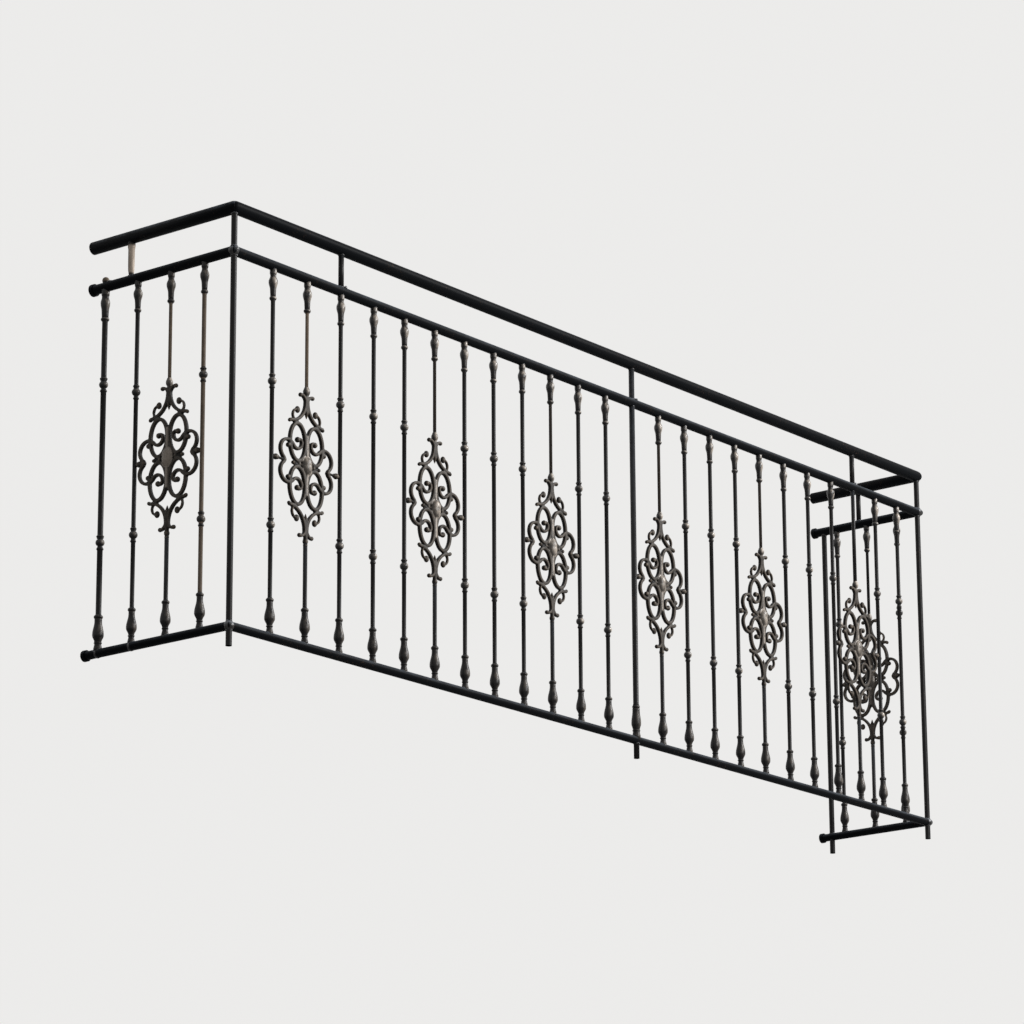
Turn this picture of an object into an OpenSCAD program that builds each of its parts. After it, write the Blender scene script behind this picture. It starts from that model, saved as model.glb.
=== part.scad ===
/* [Main sizes] */
// Length of the front between the corner post axes
front_len = 2760; // [2500:10:3100]
// From the front axis to the wall on the left return
left_depth = 434; // [426:2:520]
// From the front axis to the wall on the right return
right_depth = 341; // [335:2:400]
// Height of the handrail axis above the slab
hand_z = 1005; // [980:5:1100]
// From the handrail axis down to the mid rail axis
mid_drop = 102; // [80:1:120]
// Height of the bottom rail axis above the slab
bottom_z = 45; // [38:1:60]

/* [Rails] */
// Diameter of the handrail
hand_d = 30; // [26:1:34]
// Diameter of the mid rail
mid_d = 23; // [20:1:28]
// Diameter of the bottom rail
bottom_d = 20; // [19:1:26]
// How far the wall collars stand out from the rail
rose_out = 3; // [2:0.5:6]
// Thickness of the wall collars
rose_t = 9; // [6:1:14]

/* [Posts and struts] */
// Diameter of the corner, middle and wall posts
post_d = 14; // [12:1:16]
// How far right of the middle of the front the middle post stands
middle_shift = 88; // [76:4:100]
// Distance from the right wall to the wall post
wall_post_gap = 35; // [28:1:42]
// Diameter of the short struts under the handrail
strut_d = 13; // [10:1:14]
// Diameter of the strut of the left return
left_strut_d = 15; // [12:1:16]
// Distance from the left wall to the strut of the left return
left_strut_gap = 120; // [100:1:130]
// Distance from the right wall to the strut of the right return
right_strut_gap = 151; // [120:1:180]

/* [Balusters] */
// Diameter of a plain baluster
shaft_d = 10; // [8:0.5:12]
// Diameter of the heavy baluster beside the left wall
heavy_d = 13; // [12:0.5:15]
// Diameter of the thin rod above a casting
thin_d = 8; // [7:0.5:9]
// Distance from the left corner to the first baluster
first_gap = 131; // [126:1:146]
// How much wider the first steps beside the left corner are than the next ones
wide_extra = 6; // [0:0.5:8]
// How much narrower the last steps beside the right corner are than the ones before
narrow_less = 4.5; // [0:0.5:5]
// Distance from the left wall to the heavy baluster
heavy_gap = 41; // [30:1:44]
// Radius of the heavy baluster's head above the mid rail
head_r = 8.5; // [7.5:0.5:9.5]
// From one baluster to the next on the left return
left_step = 102; // [100:1:106]
// From the wall post to the nearest baluster of the right return
right_last = 42; // [36:1:48]
// From one baluster to the next on the right return
right_step = 98; // [97:1:102]
// Widest radius of the vase that stands on the bottom rail
urn_r = 12; // [10.5:0.25:13]
// Height of that vase with its ring
urn_h = 77; // [70:1:84]
// Widest radius of the small vase under the mid rail
vase_r = 10.25; // [8.5:0.25:11]
// Height of that vase with its ring
vase_h = 70; // [64:1:76]
// Radius of the turned rings beside the vases
ring_r = 9; // [8:0.25:10]
// Radius of the balls on the shaft
ball_r = 10; // [8.5:0.1:10.5]
// From the middle between the lower rails down to the middle between the balls of a shaft
ball_drop = 8; // [0:1:20]
// From that middle up and down to each ball
ball_off = 166; // [156:2:180]
// How much higher the upper ball of the heavy baluster sits
heavy_lift = 38; // [0:2:60]

/* [Castings] */
// From the middle between the lower rails down to the middle of a casting
cast_drop = 14; // [4:1:24]
// Thickness of the scrollwork from front to back
cast_t = 9.5; // [7:0.5:10]
// Width of the bar that forms the ovals
oval_bar = 8; // [6:0.2:8.4]
// Width of the bar that forms the scrolls
scroll_bar = 7; // [5.4:0.2:7.2]
// Half the width of an oval, on its bar's axis
oval_a = 25.5; // [24.5:0.5:26.5]
// Half the height of an oval, on its bar's axis
oval_b = 43.5; // [42.5:0.5:44]
// Sideways distance from the casting's middle to an oval's middle
oval_x = 29; // [28:0.5:30]
// Height from the casting's middle to an oval's middle
oval_z = 50.5; // [49.5:0.5:51]
// Half the width of the domed boss
boss_x = 13.5; // [12:0.5:18]
// Half the height of the domed boss
boss_z = 25; // [18:0.5:26]
// How far the domed boss stands out from the middle plane
boss_y = 10; // [7:0.5:11]
// Radius of the large balls at the scroll ends
bead_r = 5.8; // [5:0.2:6.4]
// Radius of the small balls at the scroll ends
small_bead_r = 4.8; // [4:0.2:5.4]
// Radius of the socket balls at both ends of a casting
socket_r = 7.8; // [6.4:0.1:8.2]
// Radius of the pins that reach the neighbouring balusters
pin_r = 3; // [2.5:0.25:4]

/* [Hidden] */
left_count = 11;
right_count = 11;
wide_count = 3;
narrow_count = 4;
front_from = [1, 3, 7, 11, 15, 19, 23];
front_to = [1, 5, 9, 12, 17, 21, 24];
bare_casting = 6;
$fn = 32;
eps = 0.05;
post_r = post_d / 2;
shaft_r = shaft_d / 2;
heavy_r = heavy_d / 2;
hand_r = hand_d / 2;
mid_r = mid_d / 2;
bottom_r = bottom_d / 2;
strut_r = strut_d / 2;
left_strut_r = left_strut_d / 2;
thin_r = thin_d / 2;
middle_at = front_len / 2 + middle_shift;
mid_z = hand_z - mid_drop;
rail_top = bottom_z + bottom_r;
rail_under = mid_z - mid_r;
panel_z = (bottom_z + mid_z) / 2;
ball_mid = panel_z - ball_drop;
cast_z = panel_z - cast_drop;
pitch_left = (middle_at - first_gap - wide_count * wide_extra) / (left_count + 1);
pitch_right = (front_len - middle_at + narrow_count * narrow_less) / (right_count + 1);
heavy_at = left_depth - heavy_gap;
left_strut_at = left_depth - left_strut_gap;
right_strut_at = right_depth - right_strut_gap;
wall_post_at = right_depth - wall_post_gap;
right_third = wall_post_at - right_last;
socket_z = 178;
stem_z = 68;
bud_z = 109;
s_x = 62;
s_z = 25.5;
s_r = 24;
s_from = -62;
curl_x = 31;
curl_z = 50;
curl_r = norm([s_x - curl_x, s_z - curl_z]) - s_r;
hook_r = 8;
hook_to = 45;
cusp_x = s_x + s_r * cos(s_from);
cusp_z = s_z + s_r * sin(s_from);
neck_x = oval_bar / 2 - 0.4;
neck_z = 149;
lyre_r = 15;
sweep_r = 51;
tip_x = oval_x + 2.5;
tip_z = 112;
tip_r = 14.5;
tip_from = 265;
tip_to = 465;

// Where a member left of the middle post stands, counted from the left corner
function left_x(k) = first_gap + (k - 1) * pitch_left + min(k - 1, wide_count) * wide_extra;

// How many of the narrow steps lie left of a member that stands j steps right of the middle post
function narrow_steps(j) = max(0, j - right_count - 1 + narrow_count);

// Where a member j steps right of the middle post stands
function right_x(j) = middle_at + j * pitch_right - narrow_steps(j) * narrow_less;

// Where each front member stands
function front_x(k) = k <= left_count + 1 ? left_x(k) : right_x(k - left_count - 2);

// From a front member to the next one on its right
function front_pitch(k) = front_x(k + 1) - front_x(k);

// Radius of the shaft of a front member
function front_r(k) = k == left_count + 2 ? post_r : shaft_r;

// Heights on the two vases, as a share of each vase's height
function urn_z(t) = rail_top + t * urn_h;

function vase_z(t) = rail_under - vase_h + t * vase_h;

// Smooth outline from one height and radius to the next, as points for a turned piece
function wave(r1, r2, t) = r1 + (r2 - r1) * (1 - cos(180 * t)) / 2;

function ease(z1, r1, z2, r2, steps) =
    [for (i = [0:steps]) [wave(r1, r2, i / steps), z1 + (z2 - z1) * i / steps]];

// Moves from the drawing frame, with the left corner at zero, to the foot of the middle post
module placed() {
    translate([-middle_at, 0, 0])
        children();
}

module at_left(d) {
    placed()
        translate([0, d, 0])
            rotate([0, 0, 90])
                children();
}

module at_right(d) {
    placed()
        translate([front_len, d, 0])
            rotate([0, 0, 90])
                children();
}

module at_front(k) {
    placed()
        translate([front_x(k), 0, 0])
            children();
}

module rod(r, z1, z2) {
    translate([0, 0, z1])
        cylinder(r = r, h = z2 - z1);
}

module rod_x(r, x1, x2, z) {
    translate([x1, 0, z])
        rotate([0, 90, 0])
            cylinder(r = r, h = x2 - x1);
}

module rod_y(r, y1, y2, x, z) {
    translate([x, y2, z])
        rotate([90, 0, 0])
            cylinder(r = r, h = y2 - y1);
}

// Block beyond the mitre plane of a corner: turned one way it clears the front, the other way the return
module mitre_block(x, z, turn, back, reach) {
    translate([x, 0, z])
        rotate([0, 0, turn])
            translate([back ? -reach : 0, -reach, -reach])
                cube([reach, 2 * reach, 2 * reach]);
}

module front_rail(r, z) {
    placed()
        difference() {
            rod_x(r, -r, front_len + r, z);
            mitre_block(0, z, -45, true, 4 * r);
            mitre_block(front_len, z, 45, false, 4 * r);
        }
}

module return_rail(r, z, x, turn, depth) {
    difference() {
        union() {
            rod_y(r, -r, depth, x, z);
            if (r < hand_r)
                rod_y(r + rose_out, depth - rose_t, depth, x, z);
        }
        mitre_block(x, z, turn, turn > 0, 4 * r);
    }
}

// Post holes that go up through a front rail
module front_holes(r) {
    placed() {
        rod(r, 0, hand_z - hand_r);
        translate([middle_at, 0, 0])
            rod(r, 0, hand_z - hand_r);
        translate([front_len, 0, 0])
            rod(r, 0, hand_z - hand_r);
    }
}

module handrail_front() {
    color([0.10, 0.11, 0.13])
        front_rail(hand_r, hand_z);
}

module handrail_left() {
    color([0.10, 0.11, 0.13])
        placed()
            return_rail(hand_r, hand_z, 0, -45, left_depth);
}

module handrail_right() {
    color([0.10, 0.11, 0.13])
        placed()
            return_rail(hand_r, hand_z, front_len, 45, right_depth);
}

module mid_rail_front() {
    color([0.10, 0.11, 0.13])
        difference() {
            front_rail(mid_r, mid_z);
            front_holes(post_r);
        }
}

module mid_rail_left() {
    color([0.10, 0.11, 0.13])
        difference() {
            placed()
                return_rail(mid_r, mid_z, 0, -45, left_depth);
            front_holes(post_r);
            at_left(heavy_at)
                rod(shaft_r, rail_under - 1, mid_z + mid_d);
        }
}

module mid_rail_right() {
    color([0.10, 0.11, 0.13])
        difference() {
            placed()
                return_rail(mid_r, mid_z, front_len, 45, right_depth);
            front_holes(post_r);
        }
}

module bottom_rail_front() {
    color([0.10, 0.11, 0.13])
        difference() {
            front_rail(bottom_r, bottom_z);
            front_holes(post_r);
        }
}

module bottom_rail_left() {
    color([0.10, 0.11, 0.13])
        difference() {
            placed()
                return_rail(bottom_r, bottom_z, 0, -45, left_depth);
            front_holes(post_r);
        }
}

module bottom_rail_right() {
    color([0.10, 0.11, 0.13])
        difference() {
            placed()
                return_rail(bottom_r, bottom_z, front_len, 45, right_depth);
            front_holes(post_r);
            at_right(wall_post_at)
                rod(post_r, 0, rail_top + 1);
        }
}

// Post that runs from the slab to the underside of the handrail
module tall_post() {
    rod(post_r, 0, hand_z);
}

module corner_post_left() {
    color([0.11, 0.11, 0.12])
        difference() {
            placed()
                tall_post();
            placed() {
                rod_x(hand_r, -hand_d, hand_d, hand_z);
                rod_y(hand_r, -hand_d, hand_d, 0, hand_z);
            }
        }
}

module corner_post_right() {
    color([0.11, 0.11, 0.12])
        difference() {
            placed()
                translate([front_len, 0, 0])
                    tall_post();
            placed() {
                rod_x(hand_r, front_len - hand_d, front_len + hand_d, hand_z);
                rod_y(hand_r, -hand_d, hand_d, front_len, hand_z);
            }
        }
}

// Turned vase that stands on the bottom rail, with its ring above
module urn(shaft, widest, ring) {
    rotate_extrude()
        polygon(concat(
            [[0, bottom_z], [shaft + 0.3 * urn_r, bottom_z], [shaft + 0.3 * urn_r, urn_z(0.04)]],
            ease(urn_z(0.06), shaft + 0.25 * urn_r, urn_z(0.155), shaft + 0.13 * urn_r, 3),
            ease(urn_z(0.18), shaft + 0.15 * urn_r, urn_z(0.44), widest, 6),
            ease(urn_z(0.47), widest, urn_z(0.83), shaft + 0.18 * urn_r, 7),
            [[shaft + 0.22 * urn_r, urn_z(0.895)]],
            [[0.92 * ring, urn_z(0.91)], [ring, urn_z(0.93)]],
            [[ring, urn_z(0.975)], [0.92 * ring, urn_z(0.995)]],
            [[shaft + 0.07 * urn_r, urn_z(1)], [shaft, urn_z(1.04)], [0, urn_z(1.04)]]
        ));
}

// Small turned vase under the mid rail, with its ring below
module top_vase(shaft, widest, ring) {
    rotate_extrude()
        polygon(concat(
            [[0, vase_z(-0.04)], [shaft, vase_z(-0.04)], [shaft + 0.08 * vase_r, vase_z(0)]],
            [[0.9 * ring, vase_z(0.01)], [ring, vase_z(0.026)]],
            [[ring, vase_z(0.067)], [0.9 * ring, vase_z(0.086)]],
            ease(vase_z(0.1), shaft + 0.1 * vase_r, vase_z(0.37), shaft + 0.13 * vase_r, 2),
            ease(vase_z(0.4), shaft + 0.15 * vase_r, vase_z(0.63), widest, 5),
            ease(vase_z(0.66), widest, vase_z(0.86), shaft + 0.17 * vase_r, 5),
            [[shaft + 0.19 * vase_r, vase_z(0.97)], [shaft + 0.19 * vase_r, mid_z], [0, mid_z]]
        ));
}

// Ball on the shaft, with a ring above it and a taper below
module ball_collar(shaft, ball, z) {
    translate([0, 0, z])
        rotate_extrude()
            polygon(concat(
                [[0, -1.94 * ball], [shaft, -1.94 * ball]],
                [[shaft + 0.16 * ball, -1.77 * ball], [shaft + 0.17 * ball, -1.45 * ball]],
                [for (i = [-3:3]) ball * [cos(i * 20) + (1 - cos(i * 20)) / 9, 0.925 * sin(i * 20)]],
                [[shaft + 0.13 * ball, 0.97 * ball], [shaft + 0.13 * ball, 1.18 * ball]],
                [[shaft + 0.26 * ball, 1.29 * ball], [shaft + 0.26 * ball, 1.67 * ball]],
                [[shaft + 0.13 * ball, 1.83 * ball], [shaft, 1.94 * ball], [0, 1.94 * ball]]
            ));
}

// Leaves out what the round rails take up, so that the ends seat on them
module seated_x(reach) {
    difference() {
        children();
        rod_x(mid_r, -reach, reach, mid_z);
        rod_x(bottom_r, -reach, reach, bottom_z);
    }
}

module plain_baluster() {
    seated_x(30) {
        rod(shaft_r, urn_z(0.8), vase_z(0.15));
        urn(shaft_r, urn_r, ring_r);
        top_vase(shaft_r, vase_r, ring_r - 1.2);
        ball_collar(shaft_r, ball_r, ball_mid + ball_off);
        ball_collar(shaft_r, ball_r, ball_mid - ball_off);
    }
}

module middle_post() {
    color([0.11, 0.11, 0.12])
        difference() {
            union() {
                tall_post();
                difference() {
                    urn(post_r, urn_r, ring_r + 0.5);
                    rod_x(bottom_r, -30, 30, bottom_z);
                }
            }
            rod_x(hand_r, -30, 30, hand_z);
        }
}

module wall_post_left() {
    color([0.13, 0.12, 0.12])
        at_left(heavy_at) {
            seated_x(30) {
                rod(heavy_r, urn_z(0.8), vase_z(0.15));
                urn(heavy_r, urn_r + 1, ring_r + 1.7);
                top_vase(heavy_r, vase_r + 0.5, ring_r);
                ball_collar(heavy_r, ball_r + 0.4, ball_mid + ball_off + heavy_lift);
                ball_collar(heavy_r, ball_r + 0.4, ball_mid - ball_off);
            }
            rod(shaft_r, rail_under, mid_z + mid_r + 1);
            difference() {
                translate([0, 0, mid_z + mid_r + 1])
                    sphere(r = head_r);
                rod_x(mid_r, -30, 30, mid_z);
            }
        }
}

module wall_post_right() {
    color([0.11, 0.11, 0.12])
        at_right(wall_post_at)
            difference() {
                rod(post_r, 0, mid_z);
                rod_x(mid_r, -30, 30, mid_z);
            }
}

// Short upright between the mid rail and the handrail
module strut(r) {
    difference() {
        rod(r, mid_z, hand_z);
        rod_x(mid_r, -30, 30, mid_z);
        rod_x(hand_r, -30, 30, hand_z);
    }
}

module struts() {
    color([0.13, 0.12, 0.12]) {
        at_front(3)
            strut(strut_r);
        at_front(22)
            strut(strut_r);
        at_left(left_strut_at)
            strut(left_strut_r);
        at_right(right_strut_at)
            strut(strut_r);
    }
}

module balusters_front(n) {
    color([0.14, 0.13, 0.12])
        for (k = [front_from[n - 1]:front_to[n - 1]])
            at_front(k)
                plain_baluster();
}

module balusters_left() {
    color([0.14, 0.13, 0.12]) {
        at_left(heavy_at - left_step)
            plain_baluster();
        at_left(heavy_at - 3 * left_step)
            plain_baluster();
    }
}

module balusters_right() {
    color([0.14, 0.13, 0.12]) {
        at_right(right_third)
            plain_baluster();
        at_right(right_third - 2 * right_step)
            plain_baluster();
    }
}

// Flat curved bar, drawn from one angle to another
module band(x, z, r, from, to, bar) {
    open = 360 - to + from;
    steps = 6;
    rim = [for (i = [0:steps]) let (t = to + open * i / steps) 3 * r * [cos(t), sin(t)]];
    translate([x, z])
        difference() {
            circle(r = r + bar / 2);
            circle(r = r - bar / 2);
            polygon(concat([[0, 0]], rim));
        }
}

module dot(x, z, r) {
    translate([x, z])
        circle(r = r);
}

module oval() {
    translate([oval_x, oval_z])
        difference() {
            scale([oval_a + oval_bar / 2, oval_b + oval_bar / 2])
                circle(r = 1);
            scale([oval_a - oval_bar / 2, oval_b - oval_bar / 2])
                circle(r = 1);
        }
}

// Side bracket that crosses the oval and rolls up inside it
module scroll() {
    turn = atan2(curl_z - s_z, curl_x - s_x);
    band(s_x, s_z, s_r, s_from, turn, scroll_bar);
    band(curl_x, curl_z, curl_r, 180, turn + 180, scroll_bar);
    dot(s_x + s_r * cos(turn), s_z + s_r * sin(turn), scroll_bar / 2 + eps);
    band(curl_x - curl_r + hook_r, curl_z, hook_r, hook_to, 180, scroll_bar - 0.8);
    dot(curl_x - curl_r, curl_z, scroll_bar / 2 + eps);
    dot(cusp_x, cusp_z, scroll_bar / 2 + eps);
}

// Bar of the finial: it sweeps over the oval below and ends in a short arm above
module finial() {
    band(neck_x + sweep_r, neck_z, sweep_r, 180, 270, scroll_bar);
    band(neck_x + lyre_r, neck_z, lyre_r, 90, 180, scroll_bar - 0.8);
    dot(neck_x, neck_z, scroll_bar / 2 + eps);
    band(tip_x, tip_z, tip_r, tip_from, tip_to, scroll_bar - 1);
}

module drawing() {
    for (x = [0, 1])
        mirror([x, 0])
            for (z = [0, 1])
                mirror([0, z]) {
                    oval();
                    scroll();
                    finial();
                }
}

module bead(x, z, r) {
    translate([x, 0, z])
        sphere(r = r);
}

module beads() {
    bead(curl_x - curl_r + hook_r * (1 + cos(hook_to)), curl_z + hook_r * sin(hook_to), bead_r);
    bead(neck_x + lyre_r + 2, neck_z + lyre_r - 0.8, small_bead_r + 0.4);
    bead(tip_x + tip_r * cos(tip_to), tip_z + tip_r * sin(tip_to), bead_r + 0.4);
    bead(tip_x + tip_r - 0.6, tip_z + 3, small_bead_r - 0.4);
    bead(neck_x + sweep_r, neck_z - sweep_r, small_bead_r - 0.4);
    bead(60, 37, small_bead_r + 0.2);
}

// Pin from the cusp of the side bracket to the next baluster
module pin(reach) {
    rod_x(pin_r, min(cusp_x - 2, reach - 18), reach, 0);
    rod_x(pin_r + 2.2, reach - 17, reach - 14.5, 0);
    bead(reach - 9, 0, bead_r - 0.3);
    rod_x(pin_r + 1.6, reach - 3, reach, 0);
    bead(cusp_x, 0, small_bead_r + 0.2);
}

// Stem between the ovals, and the trunk of the finial with its pointed bud and socket ball
module stem() {
    rod(shaft_r, 0, stem_z);
    translate([0, 0, stem_z])
        cylinder(r1 = shaft_r, r2 = 1.2, h = 9);
    translate([0, 0, bud_z])
        cylinder(r1 = 0.8, r2 = shaft_r, h = 14);
    rod(shaft_r, bud_z + 14, socket_z);
    bead(0, socket_z - 3, socket_r);
    rod(socket_r - 1, socket_z - 12, socket_z - 8);
}

module cast_rosette(left, right) {
    translate([0, 0, cast_z]) {
        rotate([90, 0, 0])
            linear_extrude(height = cast_t, center = true)
                drawing();
        scale([boss_x, boss_y, boss_z])
            sphere(r = 1);
        for (z = [0, 1])
            mirror([0, 0, z]) {
                stem();
                beads();
                mirror([1, 0, 0])
                    beads();
            }
        rod_x(2.2, -43, 43, 0);
        for (x = [-1, 1]) {
            bead(x * 24, 0, bead_r);
            bead(x * 43, 0, small_bead_r);
        }
        mirror([1, 0, 0])
            pin(left);
        pin(right);
    }
}

// Baluster whose shaft carries a casting, with a vase below it and, unless bare, one above it
module rosette_baluster(left, right, bare = false) {
    seated_x(30) {
        rod(shaft_r, urn_z(0.8), cast_z - socket_z + 1);
        urn(shaft_r, urn_r, ring_r);
        cast_rosette(left, right);
        if (bare) {
            rod(shaft_r, cast_z + socket_z - 1, mid_z);
        } else {
            rod(thin_r, cast_z + socket_z - 1, vase_z(0.15));
            top_vase(shaft_r, vase_r, ring_r - 1.2);
        }
    }
}

// The castings stand on every fourth member of the front
module rosette_front(n) {
    k = 4 * n - 2;
    left = front_pitch(k - 1) - front_r(k - 1);
    right = front_pitch(k) - front_r(k + 1);
    color([0.16, 0.14, 0.12])
        at_front(k)
            rosette_baluster(left, right, n == bare_casting);
}

module rosette_left() {
    color([0.16, 0.14, 0.12])
        at_left(heavy_at - 2 * left_step)
            rosette_baluster(left_step - shaft_r, left_step - shaft_r);
}

module rosette_right() {
    color([0.16, 0.14, 0.12])
        at_right(right_third - right_step)
            rosette_baluster(right_step - shaft_r, right_step - shaft_r);
}

handrail_front();
handrail_left();
handrail_right();
mid_rail_front();
mid_rail_left();
mid_rail_right();
bottom_rail_front();
bottom_rail_left();
bottom_rail_right();
corner_post_left();
corner_post_right();
middle_post();
wall_post_left();
wall_post_right();
struts();
balusters_front(1);  // balusters_front_1
balusters_front(2);  // balusters_front_2
balusters_front(3);  // balusters_front_3
balusters_front(4);  // balusters_front_4
balusters_front(5);  // balusters_front_5
balusters_front(6);  // balusters_front_6
balusters_front(7);  // balusters_front_7
balusters_left();
balusters_right();
rosette_front(1);  // rosette_front_1
rosette_front(2);  // rosette_front_2
rosette_front(3);  // rosette_front_3
rosette_front(4);  // rosette_front_4
rosette_front(5);  // rosette_front_5
rosette_front(6);  // rosette_front_6
rosette_left();
rosette_right();
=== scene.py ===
"""Looks of the iron balcony railing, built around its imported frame."""

import math

import bmesh
import bpy
import numpy as np
from mathutils import Matrix, Quaternion, Vector, noise


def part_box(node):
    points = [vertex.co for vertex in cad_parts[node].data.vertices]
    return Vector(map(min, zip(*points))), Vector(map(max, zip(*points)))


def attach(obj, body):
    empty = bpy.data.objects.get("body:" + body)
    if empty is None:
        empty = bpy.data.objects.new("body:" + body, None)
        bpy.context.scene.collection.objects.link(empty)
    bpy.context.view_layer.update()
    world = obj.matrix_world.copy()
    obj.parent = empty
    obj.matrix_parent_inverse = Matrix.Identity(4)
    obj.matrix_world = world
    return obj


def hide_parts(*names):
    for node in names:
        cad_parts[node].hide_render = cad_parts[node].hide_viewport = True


bl_info = {
    "name": "Iron Balcony Railing",
    "version": (1, 0, 0),
    "blender": (4, 5, 0),
    "location": "View3D > Sidebar > Railing",
    "description": "Finishes an iron balcony railing with turned uprights and scrollwork castings",
    "category": "Object",
}

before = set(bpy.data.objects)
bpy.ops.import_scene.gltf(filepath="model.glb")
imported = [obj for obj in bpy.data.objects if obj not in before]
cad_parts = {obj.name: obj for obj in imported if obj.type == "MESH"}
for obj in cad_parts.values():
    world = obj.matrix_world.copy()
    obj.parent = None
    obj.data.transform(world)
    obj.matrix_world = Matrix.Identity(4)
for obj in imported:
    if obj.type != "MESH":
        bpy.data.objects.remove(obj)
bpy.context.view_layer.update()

BODY = "root"
MM = 0.001

# Turned uprights of the front, counted from the left corner: plain ones by row, and one for each casting
FRONT_ROWS = {1: (1,), 2: (3, 4, 5), 3: (7, 8, 9), 4: (11, 12), 5: (15, 16, 17), 6: (19, 20, 21), 7: (23, 24)}
FRONT_CASTINGS = {1: 2, 2: 6, 3: 10, 4: 14, 5: 18, 6: 22}
MEMBERS_PER_SIDE = 12
STRUT_MEMBERS = (3, 22)
PLAIN_MEMBER = 22
WIDE_STEPS = 3
WIDE_EXTRA = 6.0 * MM
NARROW_STEPS = 4
NARROW_LESS = 4.5 * MM
LEFT_STRUT_R = 7.5 * MM
RIGHT_STRUT_SETBACK = 151 * MM


def middle(node, axis):
    """Middle of a frame node along one axis."""
    low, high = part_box(node)
    return (low[axis] + high[axis]) / 2


def half_size(node, axis):
    """Half of a frame node's size along one axis."""
    low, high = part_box(node)
    return (high[axis] - low[axis]) / 2


LEFT_X = middle("corner_post_left", 0)
RIGHT_X = middle("corner_post_right", 0)
MIDDLE_X = middle("middle_post", 0)
FIRST_X = middle("balusters_front_1", 0)
LEFT_PITCH = (MIDDLE_X - FIRST_X - WIDE_STEPS * WIDE_EXTRA) / MEMBERS_PER_SIDE
RIGHT_PITCH = (RIGHT_X - MIDDLE_X + NARROW_STEPS * NARROW_LESS) / MEMBERS_PER_SIDE
HEAVY_Y = middle("wall_post_left", 1)
WALL_POST_Y = middle("wall_post_right", 1)
LEFT_STRUT_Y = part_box("struts")[1].y - LEFT_STRUT_R
RIGHT_STRUT_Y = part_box("handrail_right")[1].y - RIGHT_STRUT_SETBACK
HAND_Z = middle("handrail_front", 2)
HAND_R = half_size("handrail_front", 2)
MID_Z = middle("mid_rail_front", 2)
MID_R = half_size("mid_rail_front", 2)
LOW_Z = middle("bottom_rail_front", 2)
LOW_R = half_size("bottom_rail_front", 2)
POST_R = half_size("corner_post_left", 0)
URN_R = half_size("balusters_front_1", 0)
RAIL_TOP = LOW_Z + LOW_R
RAIL_UNDER = MID_Z - MID_R

# Each rail's height and radius, and which way it runs past an upright
HAND_RAIL = (HAND_Z, HAND_R)
MID_RAIL = (MID_Z, MID_R)
LOW_RAIL = (LOW_Z, LOW_R)
ALONG_X, ALONG_Y, CORNER = 0, 1, 2

TOUCHING = 0.00001


def member_x(number):
    """Where a front member stands, counted from the left corner."""
    if number <= MEMBERS_PER_SIDE:
        steps = number - 1
        return FIRST_X + steps * LEFT_PITCH + min(steps, WIDE_STEPS) * WIDE_EXTRA
    steps = number - MEMBERS_PER_SIDE - 1
    return MIDDLE_X + steps * RIGHT_PITCH - max(0, steps - MEMBERS_PER_SIDE + NARROW_STEPS) * NARROW_LESS


def row_ends(node):
    """The two axes of a return's balusters, front one first."""
    low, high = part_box(node)
    return low.y + URN_R, high.y - URN_R


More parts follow.
